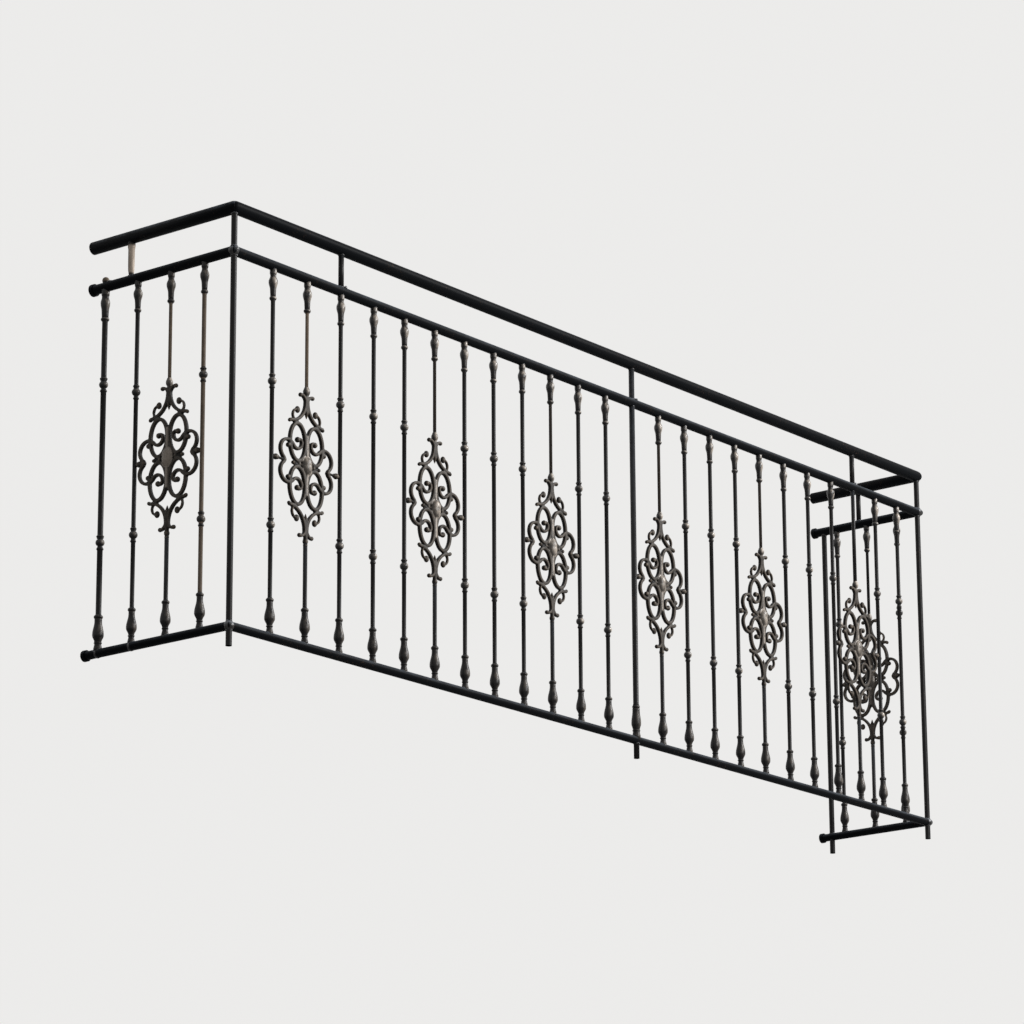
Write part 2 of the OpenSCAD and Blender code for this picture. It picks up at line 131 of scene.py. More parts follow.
class RailingSizes(bpy.types.PropertyGroup):
    """Sizes of the turned work, the castings and the welds"""

    shaft_radius: bpy.props.FloatProperty(
        name="Shaft radius", description="Radius of a plain turned shaft",
        default=5 * MM, subtype="DISTANCE", unit="LENGTH")
    thin_radius: bpy.props.FloatProperty(
        name="Thin rod radius", description="Radius of the rod above a casting",
        default=4 * MM, subtype="DISTANCE", unit="LENGTH")
    strut_radius: bpy.props.FloatProperty(
        name="Strut radius", description="Radius of the short struts under the handrail",
        default=6.5 * MM, subtype="DISTANCE", unit="LENGTH")
    bare_radius: bpy.props.FloatProperty(
        name="Bare strut radius", description="Radius of the worn strut of the left return",
        default=LEFT_STRUT_R, subtype="DISTANCE", unit="LENGTH")
    head_radius: bpy.props.FloatProperty(
        name="Head radius", description="Radius of the heavy upright's head above the mid rail",
        default=8.5 * MM, subtype="DISTANCE", unit="LENGTH")
    heavy_radius: bpy.props.FloatProperty(
        name="Heavy shaft radius", description="Radius of the upright beside the left wall",
        default=6.5 * MM, subtype="DISTANCE", unit="LENGTH")
    vase_radius: bpy.props.FloatProperty(
        name="Vase radius", description="Widest radius of the vase under the mid rail",
        default=10.4 * MM, subtype="DISTANCE", unit="LENGTH")
    ring_radius: bpy.props.FloatProperty(
        name="Ring radius", description="Radius of the turned ring above each foot vase",
        default=9 * MM, subtype="DISTANCE", unit="LENGTH")
    ball_radius: bpy.props.FloatProperty(
        name="Ball radius", description="Radius of the balls on the shafts",
        default=10 * MM, subtype="DISTANCE", unit="LENGTH")
    ball_middle: bpy.props.FloatProperty(
        name="Ball middle", description="Height midway between the two balls of a shaft",
        default=466 * MM, subtype="DISTANCE", unit="LENGTH")
    ball_offset: bpy.props.FloatProperty(
        name="Ball offset", description="From that middle up and down to each ball",
        default=166 * MM, subtype="DISTANCE", unit="LENGTH")
    heavy_lift: bpy.props.FloatProperty(
        name="Heavy ball lift", description="How much higher the heavy upright's upper ball sits",
        default=38 * MM, subtype="DISTANCE", unit="LENGTH")
    casting_middle: bpy.props.FloatProperty(
        name="Casting middle", description="Height of the middle of each casting",
        default=460 * MM, subtype="DISTANCE", unit="LENGTH")
    voxel: bpy.props.FloatProperty(
        name="Casting grain", description="Cell size at which the bars of a casting are fused",
        default=1.5 * MM, subtype="DISTANCE", unit="LENGTH")
    weld: bpy.props.FloatProperty(
        name="Weld size", description="Radius of a weld bead",
        default=1.7 * MM, subtype="DISTANCE", unit="LENGTH")
    turned_sides: bpy.props.IntProperty(
        name="Turned sides", description="Sides of every turned piece", default=24, min=8, max=64)


class RailingColours(bpy.types.PropertyGroup):
    """Colours of the enamel, the cast iron, the wear and the stage"""

    enamel: bpy.props.FloatVectorProperty(
        name="Enamel", description="Blue-black enamel of the rails",
        default=(0.0040, 0.0046, 0.0055), size=3, subtype="COLOR")
    upright: bpy.props.FloatVectorProperty(
        name="Upright enamel", description="Black enamel of the posts and uprights",
        default=(0.0065, 0.0060, 0.0060), size=3, subtype="COLOR")
    cast: bpy.props.FloatVectorProperty(
        name="Cast iron", description="Dark ground coat of the castings",
        default=(0.0065, 0.0056, 0.0048), size=3, subtype="COLOR")
    face: bpy.props.FloatVectorProperty(
        name="Casting face", description="Worn grey brown on the flat faces of the castings",
        default=(0.062, 0.054, 0.046), size=3, subtype="COLOR")
    # Pale wear on raised work, and a painted highlight: it is laid on most thickly on the side that faces the
    # light.
    patina_and_highlight: bpy.props.FloatVectorProperty(
        name="Patina", description="Pale bronze grey rubbed on the raised work",
        default=(0.40, 0.345, 0.29), size=3, subtype="COLOR")
    # Dust and chalking on upper faces, and a painted highlight there too: it stands in for the sheen of sky
    # light on the tops of rails, uprights and castings.
    dust_and_sheen: bpy.props.FloatVectorProperty(
        name="Dust", description="Blue-grey dust and chalking on upper faces",
        default=(0.115, 0.13, 0.15), size=3, subtype="COLOR")
    # Also laid on the castings' convex rims, where it is a painted highlight as well as wear.
    worn: bpy.props.FloatVectorProperty(
        name="Worn rod", description="Brown grey of rods whose paint has worn thin",
        default=(0.17, 0.13, 0.095), size=3, subtype="COLOR")
    # Also laid on the castings' boss and stem, where on the left casting it partly stands in for light, a
    # painted highlight.
    bare: bpy.props.FloatVectorProperty(
        name="Bare strut", description="Pale stone colour of the worn strut",
        default=(0.62, 0.52, 0.425), size=3, subtype="COLOR")
    # Chalking on the welds' upper sides, and a painted highlight there as well.
    chalk_and_highlight: bpy.props.FloatVectorProperty(
        name="Chalk", description="Pale blue grey where weld metal and paint have chalked",
        default=(0.20, 0.215, 0.24), size=3, subtype="COLOR")
    rust: bpy.props.FloatVectorProperty(
        name="Rust", description="Brown of rust freckles",
        default=(0.095, 0.055, 0.034), size=3, subtype="COLOR")
    floor: bpy.props.FloatVectorProperty(
        name="Floor", description="Pale floor", default=(0.62, 0.61, 0.60), size=3, subtype="COLOR")
    backdrop: bpy.props.FloatVectorProperty(
        name="Backdrop", description="Pale background",
        default=(0.84, 0.835, 0.825), size=3, subtype="COLOR")


class RailingStage(bpy.types.PropertyGroup):
    """Where the camera stands and how strong the lights are"""

    camera_place: bpy.props.FloatVectorProperty(
        name="Camera place", description="Where the camera stands",
        default=(-7.8737, -5.8647, -2.1652), size=3, subtype="XYZ", unit="LENGTH")
    heading: bpy.props.FloatProperty(
        name="Heading", description="Camera heading from +Y towards +X",
        default=math.radians(51.5735), subtype="ANGLE", unit="ROTATION")
    rise: bpy.props.FloatProperty(
        name="Rise", description="How far the camera looks up",
        default=math.radians(15.8632), subtype="ANGLE", unit="ROTATION")
    roll: bpy.props.FloatProperty(
        name="Roll", description="Camera roll about its line of sight",
        default=math.radians(0.3297), subtype="ANGLE", unit="ROTATION")
    lens: bpy.props.FloatProperty(
        name="Lens", description="Focal length on a 36 mm sensor",
        default=145.385, subtype="DISTANCE_CAMERA")
    key_power: bpy.props.FloatProperty(
        name="Key power", description="Power of the soft light high at the right",
        default=520.0, subtype="POWER", unit="POWER")
    fill_power: bpy.props.FloatProperty(
        name="Fill power", description="Power of the soft light at the front right",
        default=240.0, subtype="POWER", unit="POWER")
    ambient: bpy.props.FloatProperty(
        name="Ambient", description="Strength of the light from all round", default=0.24)


def sizes():
    """The size settings of this scene."""
    return bpy.context.scene.railing_sizes


def colours():
    """The colour settings of this scene."""
    return bpy.context.scene.railing_colours


def rgba(colour):
    """A colour with full opacity."""
    return (*colour, 1.0)


# Node building


def add_node(tree, kind, place=(0, 0), **values):
    """Adds one node and sets its properties."""
    node = tree.nodes.new(kind)
    node.location = place
    for name, value in values.items():
        setattr(node, name, value)
    return node


def link(tree, source, output, target, socket):
    """Links an output to an input, both by name or number."""
    tree.links.new(source.outputs[output], target.inputs[socket])


def start_group(name, output, **inputs):
    """A shader node group with float sockets. Returns it with its input node and its output node."""
    tree = bpy.data.node_groups.new(name, "ShaderNodeTree")
    for label, value in inputs.items():
        socket = tree.interface.new_socket(name=label, in_out="INPUT", socket_type="NodeSocketFloat")
        socket.default_value = value
    tree.interface.new_socket(name=output, in_out="OUTPUT", socket_type="NodeSocketFloat")
    return tree, add_node(tree, "NodeGroupInput", (-900, 0)), add_node(tree, "NodeGroupOutput", (700, 0))


def feed(tree, socket, value):
    """Gives an input a link when the value is a socket, or else the plain value."""
    if isinstance(value, bpy.types.NodeSocket):
        tree.links.new(value, socket)
    else:
        socket.default_value = value


def math_node(tree, operation, first, second, clamp=False):
    """A Math node fed by sockets or numbers. Returns its output socket."""
    node = add_node(tree, "ShaderNodeMath", operation=operation, use_clamp=clamp)
    feed(tree, node.inputs[0], first)
    feed(tree, node.inputs[1], second)
    return node.outputs[0]


def remap(tree, value, low, high, to_low=0.0, to_high=1.0):
    """A smooth Map Range node. Returns its output socket."""
    node = add_node(tree, "ShaderNodeMapRange", interpolation_type="SMOOTHSTEP")
    for name, amount in (("From Min", low), ("From Max", high), ("To Min", to_low), ("To Max", to_high)):
        feed(tree, node.inputs[name], amount)
    tree.links.new(value, node.inputs["Value"])
    return node.outputs["Result"]


def cloud(tree, scale, detail, roughness, stretch=None):
    """Noise on object coordinates. The scale is a number or a socket."""
    place = add_node(tree, "ShaderNodeTexCoord")
    source = place.outputs["Object"]
    if stretch:
        mapping = add_node(tree, "ShaderNodeMapping")
        mapping.inputs["Scale"].default_value = stretch
        tree.links.new(source, mapping.inputs["Vector"])
        source = mapping.outputs["Vector"]
    node = add_node(tree, "ShaderNodeTexNoise")
    node.inputs["Detail"].default_value = detail
    node.inputs["Roughness"].default_value = roughness
    feed(tree, node.inputs["Scale"], scale)
    tree.links.new(source, node.inputs["Vector"])
    return node.outputs["Fac"]


def attribute_of(tree, name):
    """Reads one of the mesh's own point attributes. Returns its output socket."""
    return add_node(tree, "ShaderNodeAttribute", attribute_name=name, attribute_type="GEOMETRY").outputs["Fac"]


def put_out(tree, source, result, mask, *others):
    """Multiplies a group's masks and its Amount, and puts the product out."""
    for other in others:
        mask = math_node(tree, "MULTIPLY", mask, other)
    mask = math_node(tree, "MULTIPLY", mask, source.outputs["Amount"], clamp=True)
    tree.links.new(mask, result.inputs["Mask"])
    return tree


def dust_and_sheen_group():
    """Dust and chalking on upper faces, thick and thin in patches, which also stands in for the sheen of sky
    light on their tops as a highlight laid into the colour.
    """
    tree, source, result = start_group("Dust and sky sheen", "Mask", Amount=1.0, Scale=40.0, Start=0.25, Thinnest=0.55)
    normal = add_node(tree, "ShaderNodeNewGeometry")
    split = add_node(tree, "ShaderNodeSeparateXYZ")
    link(tree, normal, "Normal", split, 0)
    full = math_node(tree, "ADD", source.outputs["Start"], 0.75)
    upward = remap(tree, split.outputs["Z"], source.outputs["Start"], full)
    patches = cloud(tree, source.outputs["Scale"], 4.0, 0.6)
    patches = remap(tree, patches, 0.36, 0.64, source.outputs["Thinnest"], 1.0)
    return put_out(tree, source, result, upward, patches)


def freckle_group():
    """Small scattered spots where rust or bare metal comes through the paint."""
    tree, source, result = start_group("Freckles", "Mask", Amount=0.5, Scale=260.0)
    fine = remap(tree, cloud(tree, source.outputs["Scale"], 3.0, 0.6), 0.60, 0.70)
    areas = remap(tree, cloud(tree, 9.0, 3.0, 0.5), 0.45, 0.65)
    return put_out(tree, source, result, fine, areas)


def rubbed_and_lit_group():
    """Pale wear on raised work, read from the mesh's own raised attribute, strongest on the side that faces
    the light, so that it is also a highlight laid into the colour.
    """
    tree, source, result = start_group("Rubbed patina", "Mask", Amount=1.0, Scale=120.0)
    normal = add_node(tree, "ShaderNodeNewGeometry")
    weather = add_node(tree, "ShaderNodeVectorMath", operation="DOT_PRODUCT")
    weather.inputs[1].default_value = LIT_SIDE
    link(tree, normal, "Normal", weather, 0)
    outer = remap(tree, weather.outputs["Value"], -0.25, 0.75)
    streaks = cloud(tree, source.outputs["Scale"], 4.0, 0.6, stretch=(1.0, 1.0, 0.5))
    broken = remap(tree, streaks, 0.36, 0.62)
    return put_out(tree, source, result, attribute_of(tree, "raised"), outer, broken)


def lumps_group():
    """Height of thick brushed paint over rough metal."""
    tree, source, result = start_group("Paint lumps", "Height", Coarse=0.6, Fine=0.4)
    coarse = math_node(tree, "MULTIPLY", cloud(tree, 70.0, 2.0, 0.5), source.outputs["Coarse"])
    fine = math_node(tree, "MULTIPLY", cloud(tree, 420.0, 3.0, 0.55), source.outputs["Fine"])
    tree.links.new(math_node(tree, "ADD", coarse, fine), result.inputs["Height"])
    return tree


# The side that faces the light, the outer right and above: the pale wear on raised work is painted brightest
# there, as a highlight
LIT_SIDE = Vector((0.50, -0.62, 0.60)).normalized()
GROUP_MAKERS = {
    "dust_and_sheen": dust_and_sheen_group, "freckles": freckle_group, "rubbed_and_lit": rubbed_and_lit_group, "lumps": lumps_group,
}
groups = {}


def effect(tree, name, **values):
    """Places one shared effect in a material, with its own values."""
    if name not in groups:
        groups[name] = GROUP_MAKERS[name]()
    node = add_node(tree, "ShaderNodeGroup", node_tree=groups[name])
    for label, value in values.items():
        node.inputs[label].default_value = value
    return node.outputs[0]


def coats(tree, ground, *layers):
    """Lays colours over a ground colour one after another, each by its own mask. Returns the last socket."""
    below = rgba(ground)
    for mask, colour in layers:
        node = add_node(tree, "ShaderNodeMix", data_type="RGBA", clamp_factor=True)
        tree.links.new(mask, node.inputs["Factor"])
        feed(tree, node.inputs[6], below)
        node.inputs[7].default_value = rgba(colour)
        below = node.outputs[2]
    return below


def start_material(name):
    """A material with a Principled shader and its output."""
    material = bpy.data.materials.new(name)
    material.use_nodes = True
    tree = material.node_tree
    tree.nodes.clear()
    shader = add_node(tree, "ShaderNodeBsdfPrincipled", (500, 0))
    output = add_node(tree, "ShaderNodeOutputMaterial", (800, 0))
    link(tree, shader, "BSDF", output, "Surface")
    return material, tree, shader


def dress(tree, shader, colour, roughness, specular):
    """Feeds a shader's colour, roughness and specular level. The roughness is a number or a socket."""
    tree.links.new(colour, shader.inputs["Base Color"])
    feed(tree, shader.inputs["Roughness"], roughness)
    shader.inputs["Specular IOR Level"].default_value = specular


def add_gloss(tree, shader, weight, roughness):
    """A clear coat on raised work alone."""
    weight = math_node(tree, "MULTIPLY", attribute_of(tree, "raised"), weight)
    tree.links.new(weight, shader.inputs["Coat Weight"])
    shader.inputs["Coat Roughness"].default_value = roughness


def set_bump(tree, shader, coarse, fine, distance):
    """Bumps the shader's normal with the shared paint lumps."""
    bump = add_node(tree, "ShaderNodeBump")
    bump.inputs["Distance"].default_value = distance
    tree.links.new(effect(tree, "lumps", Coarse=coarse, Fine=fine), bump.inputs["Height"])
    link(tree, bump, "Normal", shader, "Normal")


def enamel_coat(name, amount, start, thinnest):
    """Blue-black satin enamel with grey chalking on top, which also carries the sky's sheen there as a
    highlight in the colour, and a few rust freckles.
    """
    material, tree, shader = start_material(name)
    c = colours()
    # Painted highlight as well as dust: the grey on upper faces stands in for the sheen of sky light.
    dust_and_sheen = effect(tree, "dust_and_sheen", Amount=amount, Scale=24.0, Start=start, Thinnest=thinnest)
    freckles = effect(tree, "freckles", Amount=0.35, Scale=240.0)
    colour = coats(tree, c.enamel, (dust_and_sheen, c.dust_and_sheen), (freckles, c.rust))
    dress(tree, shader, colour, remap(tree, dust_and_sheen, 0.0, 1.0, 0.45, 0.60), 0.02)
    set_bump(tree, shader, 0.6, 0.05, 0.4 * MM)
    return material


def handrail_enamel():
    """Enamel of the handrail, chalked only along its top, where that grey also stands in for the sky's sheen
    as a highlight in the colour.
    """
    return enamel_coat("handrail_enamel", 0.36, 0.42, 0.6)


def chalky_sheen_enamel():
    """Enamel of the left return's handrail, chalked in patches over its upper half, where that grey also
    stands in for the sheen of sky light as a highlight in the colour.
    """
    return enamel_coat("chalky_sheen_enamel", 1.0, -0.02, 0.05)


def rail_enamel():
    """Enamel of the two lower rails, dusty over their upper half, where that grey also stands in for the sky's
    sheen as a highlight in the colour.
    """
    return enamel_coat("rail_enamel", 0.50, 0.0, 0.5)


def upright_enamel():
    """Black enamel of posts and shafts, with glossy vases worn pale and brown worn rods; the pale wear is
    brightest on the side facing the light, a highlight in the colour.
    """
    material, tree, shader = start_material("upright_enamel")
    c = colours()
    # Painted highlight as well as dust: the grey on upper faces stands in for the sheen of sky light.
    dust_and_sheen = effect(tree, "dust_and_sheen", Amount=0.35, Scale=60.0, Start=0.25)
    # Painted highlight as well as wear: the pale vases are brightest on the side facing the light.
    rubbed_and_lit = effect(tree, "rubbed_and_lit", Amount=1.0, Scale=105.0)
    freckles = effect(tree, "freckles", Amount=0.5, Scale=260.0)
    patches = remap(tree, cloud(tree, 45.0, 4.0, 0.55), 0.25, 0.6, 0.65, 1.0)
    worn = math_node(tree, "MULTIPLY", attribute_of(tree, "rusty"), patches)
    worn = math_node(tree, "MAXIMUM", worn, attribute_of(tree, "domed"))
    colour = coats(tree, c.upright, (dust_and_sheen, c.dust_and_sheen), (rubbed_and_lit, c.patina_and_highlight), (freckles, c.rust), (worn, c.worn))
    dress(tree, shader, colour, remap(tree, worn, 0.0, 1.0, 0.36, 0.62), 0.14)
    add_gloss(tree, shader, 0.55, 0.22)
    set_bump(tree, shader, 0.25, 0.02, 0.4 * MM)
    return material


def cast_patina():
    """Dark cast iron with worn grey brown faces, paler edges and a pale worn boss, stem and sockets; the paler
    edges and the lit side of the boss, stem and sockets are highlights in the colour as well as wear.
    """
    material, tree, shader = start_material("cast_patina")
    c = colours()
    # Painted highlight as well as wear: the pale boss, stem and sockets are brightest on the side facing the
    # light.
    rubbed_and_lit = effect(tree, "rubbed_and_lit", Amount=1.0, Scale=110.0)
    # Painted highlight as well as dust on upper faces.
    dust_and_sheen = effect(tree, "dust_and_sheen", Amount=0.3, Scale=90.0, Start=0.25)
    freckles = effect(tree, "freckles", Amount=0.5, Scale=300.0)
    mottle = remap(tree, cloud(tree, 75.0, 4.0, 0.6), 0.32, 0.62, 0.30, 1.0)
    face = math_node(tree, "MULTIPLY", attribute_of(tree, "face"), mottle)
    broken = remap(tree, cloud(tree, 40.0, 3.0, 0.5), 0.35, 0.6, 0.2, 0.6)
    # Painted highlight as well as wear on the turned rims of the straps.
    worn_lit_edge = math_node(tree, "MULTIPLY", attribute_of(tree, "worn_lit_edge"), broken)
    colour = coats(
        tree, c.cast, (dust_and_sheen, c.dust_and_sheen), (face, c.face), (worn_lit_edge, c.worn), (rubbed_and_lit, c.patina_and_highlight),
        (attribute_of(tree, "bared_and_lit"), c.bare), (freckles, c.rust))
    dress(tree, shader, colour, 0.48, 0.12)
    add_gloss(tree, shader, 0.5, 0.25)
    set_bump(tree, shader, 0.5, 0.3, 0.5 * MM)
    return material


def bare_strut():
    """Pale worn strut, black where the paint still holds and along its shaded left side, where the black is
    shade laid into the colour, and brown along its rusty side.
    """
    material, tree, shader = start_material("bare_strut")
    c = colours()
    stains = remap(tree, cloud(tree, 60.0, 4.0, 0.6, stretch=(1.0, 1.0, 0.3)), 0.35, 0.65, 0.0, 0.5)
    colour = coats(
        tree, c.bare, (stains, c.worn), (attribute_of(tree, "rusty"), c.rust),
        # The black is paint at head and foot, and painted shade along the strut's left side.
        (attribute_of(tree, "paint_and_shade"), c.upright))
    dress(tree, shader, colour, 0.6, 0.2)
    set_bump(tree, shader, 0.5, 0.6, 0.5 * MM)
    return material


def weld_paint():
    """Weld metal in enamel, glossy and blue-grey on its upper sides, where the blue-grey is chalking and a
    highlight in the colour both.
    """
    material, tree, shader = start_material("weld_paint")
    c = colours()
    # Painted highlight as well as chalking on the welds' upper sides.
    dust_and_sheen = effect(tree, "dust_and_sheen", Amount=1.0, Scale=120.0, Start=0.0)
    freckles = effect(tree, "freckles", Amount=0.7, Scale=380.0)
    colour = coats(tree, c.upright, (dust_and_sheen, c.chalk_and_highlight), (freckles, c.rust))
    dress(tree, shader, colour, 0.3, 0.45)
    set_bump(tree, shader, 0.8, 0.5, 0.6 * MM)
    return material


MATERIAL_MAKERS = {
    "rails": rail_enamel, "handrail": handrail_enamel, "chalky_sheen": chalky_sheen_enamel, "uprights": upright_enamel,
    "castings": cast_patina, "strut": bare_strut, "welds": weld_paint,
}
materials = {}


def finish_of(name):
    """One of the railing's materials, made the first time that it is asked for."""
    if name not in materials:
        materials[name] = MATERIAL_MAKERS[name]()
    return materials[name]


# Mesh building

# How far a turned foot and neck stand out of the shaft, and how tall the two vases are
FOOT_OUT = 3.4 * MM
NECK_OUT = 2.4 * MM
FOOT_VASE_HEIGHT = 80 * MM
HEAD_VASE_HEIGHT = 70 * MM
BALL_HALF_HEIGHT = 9 * MM


def add_piece(bm, name, finish, replaced=None):
    """Makes an object of a finished bmesh and tells the frame about it."""
    mesh = bpy.data.meshes.new(name)
    bm.to_mesh(mesh)
    bm.free()
    mesh.polygons.foreach_set("use_smooth", [True] * len(mesh.polygons))
    mesh.materials.append(finish_of(finish))
    piece = bpy.data.objects.new(name, mesh)
    bpy.context.scene.collection.objects.link(piece)
    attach(piece, BODY)
    if replaced:
        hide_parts(replaced)
    return piece


def refinish(node, finish):
    """Gives a frame node one of the railing's materials."""
    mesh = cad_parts[node].data
    mesh.materials.clear()
    mesh.materials.append(finish_of(finish))


def swell(z1, r1, z2, r2, steps):
    """Smooth turned line from one height and radius to the next."""
    points = []
    for step in range(steps + 1):
        part = step / steps
        points.append((r1 + (r2 - r1) * (1 - math.cos(math.pi * part)) / 2, z1 + (z2 - z1) * part))
    return points


def bead_line(z1, z2, root, crown, steps):
    """Half-round turned ring between two heights."""
    centre, half = (z1 + z2) / 2, (z2 - z1) / 2
    points = []
    for step in range(steps + 1):
        turn = math.pi * (step / steps - 0.5)
        points.append((root + (crown - root) * math.cos(turn), centre + half * math.sin(turn)))
    return points


def foot_vase(shaft, widest, ring):
    """Line of the vase that stands on the bottom rail, from inside the rail up to the shaft."""
    base, foot = RAIL_TOP, shaft + FOOT_OUT
    return (
        [(foot, LOW_Z), (foot, base + 1.6 * MM), (shaft + 3.1 * MM, base + 3 * MM)]
        + swell(base + 3.6 * MM, shaft + 2.6 * MM, base + 11 * MM, shaft + 1.4 * MM, 4)
        + bead_line(base + 12 * MM, base + 15.5 * MM, shaft + 1.4 * MM, shaft + 2.8 * MM, 4)
        + swell(base + 16 * MM, shaft + 1.6 * MM, base + 31 * MM, widest, 8)
        + swell(base + 33 * MM, widest, base + 64 * MM, shaft + 2 * MM, 10)
        + [(shaft + 2.1 * MM, base + 68.6 * MM)]
        + bead_line(base + 69.6 * MM, base + 77 * MM, ring - 2.6 * MM, ring, 8)
        + [(shaft + 0.9 * MM, base + 77.6 * MM), (shaft, base + FOOT_VASE_HEIGHT)]
    )


def head_vase(shaft, widest, ring):
    """Line of the small vase under the mid rail, from the shaft up into the rail."""
    low = RAIL_UNDER - HEAD_VASE_HEIGHT
    return (
        [(shaft, low - 3 * MM), (shaft + 0.9 * MM, low - 0.2 * MM)]
        + bead_line(low + 0.4 * MM, low + 7.8 * MM, ring - 2.2 * MM, ring + 0.3 * MM, 8)
        + swell(low + 8.4 * MM, shaft + 1.3 * MM, low + 22 * MM, shaft + 1.8 * MM, 3)
        + swell(low + 24 * MM, shaft + 2.0 * MM, low + 42 * MM, widest, 9)
        + swell(low + 44 * MM, widest, low + 57 * MM, shaft + 1.7 * MM, 7)
        + swell(low + 58.5 * MM, shaft + 1.7 * MM, low + 63 * MM, shaft + 2.9 * MM, 4)
        + [(shaft + 2.9 * MM, MID_Z)]
    )


def ball_line(shaft, ball, z):
    """Line of a ball on the shaft, with a ring above it and a taper below."""
    points = [(shaft, z - 18 * MM), (shaft + 0.6 * MM, z - 17.2 * MM)]
    points += bead_line(z - 16.6 * MM, z - 13 * MM, shaft + 0.8 * MM, shaft + 1.8 * MM, 4)
    for step in range(-5, 6):
        turn = math.radians(12.5 * step)
        width = ball * math.cos(turn) + (1 - math.cos(turn)) * MM
        points.append((width, z + BALL_HALF_HEIGHT * math.sin(turn)))
    points += [(shaft + 1.2 * MM, z + 9.6 * MM), (shaft + 1.0 * MM, z + 11.4 * MM)]
    points += bead_line(z + 12 * MM, z + 16 * MM, shaft + 0.9 * MM, shaft + 2.5 * MM, 6)
    points += [(shaft + 0.5 * MM, z + 17 * MM), (shaft, z + 18.5 * MM)]
    return points


def turn_line(bm, line, x, y, sides):
    """Turns a line of radius and height about an upright axis and closes both ends."""
    line = [(0.0, line[0][1])] + line + [(0.0, line[-1][1])]
    verts = [bm.verts.new((x + radius, y, z)) for radius, z in line]
    edges = [bm.edges.new(pair) for pair in zip(verts, verts[1:])]
    bmesh.ops.spin(
        bm, geom=verts + edges, cent=(x, y, 0), axis=(0, 0, 1), dvec=(0, 0, 0),
        angle=math.tau, steps=sides, use_merge=True)


def close_up(bm):
    """Welds what meets and points every face outwards."""
    bmesh.ops.remove_doubles(bm, verts=bm.verts, dist=TOUCHING)
    bmesh.ops.recalc_face_normals(bm, faces=bm.faces)


def store_marks(piece, name, values):
    """Keeps one value for each vertex of a piece as a point attribute."""
    attribute = piece.data.attributes.new(name, "FLOAT", "POINT")
    attribute.data.foreach_set("value", values)


def mark(piece, name, value_at):
    """Writes a point attribute, worked out from each vertex's place."""
    store_marks(piece, name, [value_at(vertex.co) for vertex in piece.data.vertices])


def step_up(value, low, high):
    """0 below low, 1 above high and smooth between."""
    part = min(max((value - low) / (high - low), 0.0), 1.0)
    return part * part * (3 - 2 * part)


def mark_turned(piece, axes, shaft, widest, worn=None):
    """Raised where a turned upright is wider than its shaft, less so on foot vases and on the left return.

    worn gives how worn the rods are at a place.
    """

    def radius(co):
        return min(math.hypot(co.x - x, co.y - y) for x, y in axes)

    def raised(co):
        share = 0.25 if co.z < RAIL_TOP + FOOT_VASE_HEIGHT else 0.5 if co.x < LEFT_X + HAND_R else 1.0
        return share * step_up(radius(co), shaft + 1.0 * MM, widest)

    def rusty(co):
        return worn(co) if worn and radius(co) < shaft + 0.3 * MM else 0.0

    mark(piece, "raised", raised)
    mark(piece, "rusty", rusty)


def plain_line(shaft, urn, vase, ring, balls, ball):
    """Whole line of a turned upright with two balls."""
    line = foot_vase(shaft, urn, ring)
    for z in balls:
        line += ball_line(shaft, ball, z)
    return line + head_vase(shaft, vase, ring - 1 * MM)


def make_row(name, node, axes, worn=None):
    """The plain turned balusters that stand for one frame node."""
    s = sizes()
    balls = (s.ball_middle - s.ball_offset, s.ball_middle + s.ball_offset)
    line = plain_line(s.shaft_radius, URN_R, s.vase_radius, s.ring_radius, balls, s.ball_radius)
    bm = bmesh.new()
    for x, y in axes:
        turn_line(bm, line, x, y, s.turned_sides)
    close_up(bm)
    piece = add_piece(bm, name, "uprights", node)
    mark_turned(piece, axes, s.shaft_radius, s.ring_radius, worn)


# Handrail

INNER_BEND = 3 * MM
BEND_SPREAD = 9 * MM
EXTRA_SIDES = 8
ELBOW_STEP = 9


def corner_line(out, turns):
    """One long line of the handrail round a corner, as places from the corner.

    out is how far outside the axis the line runs, and turns are the elbow's angles in degrees.
    """
    bend = INNER_BEND + BEND_SPREAD * (out + HAND_R) / (2 * HAND_R)
    places = []
    for turn in turns:
        turn = math.radians(turn)
        places.append((bend - out - bend * math.sin(turn), bend - out - bend * math.cos(turn)))
    return places


def handrail_bar(name, finish, node, lines):
    """Skins a round bar whose long lines are given, one list of places for each of its sides."""
    sides, rings = len(lines), len(lines[0])
    bm = bmesh.new()
    bmesh.ops.create_grid(bm, x_segments=rings - 1, y_segments=sides, size=1.0)
    for vert in bm.verts:
        ring = round((vert.co.x + 1) / 2 * (rings - 1))
        side = round((vert.co.y + 1) / 2 * sides) % sides
        vert.co = Vector(lines[side][ring])
    bmesh.ops.remove_doubles(bm, verts=bm.verts, dist=TOUCHING)
    bmesh.ops.holes_fill(bm, edges=bm.edges, sides=0)
    bmesh.ops.recalc_face_normals(bm, faces=bm.faces)
    add_piece(bm, name, finish, node)


# Castings, drawn in millimetres about their own middle, with x to the side and z up

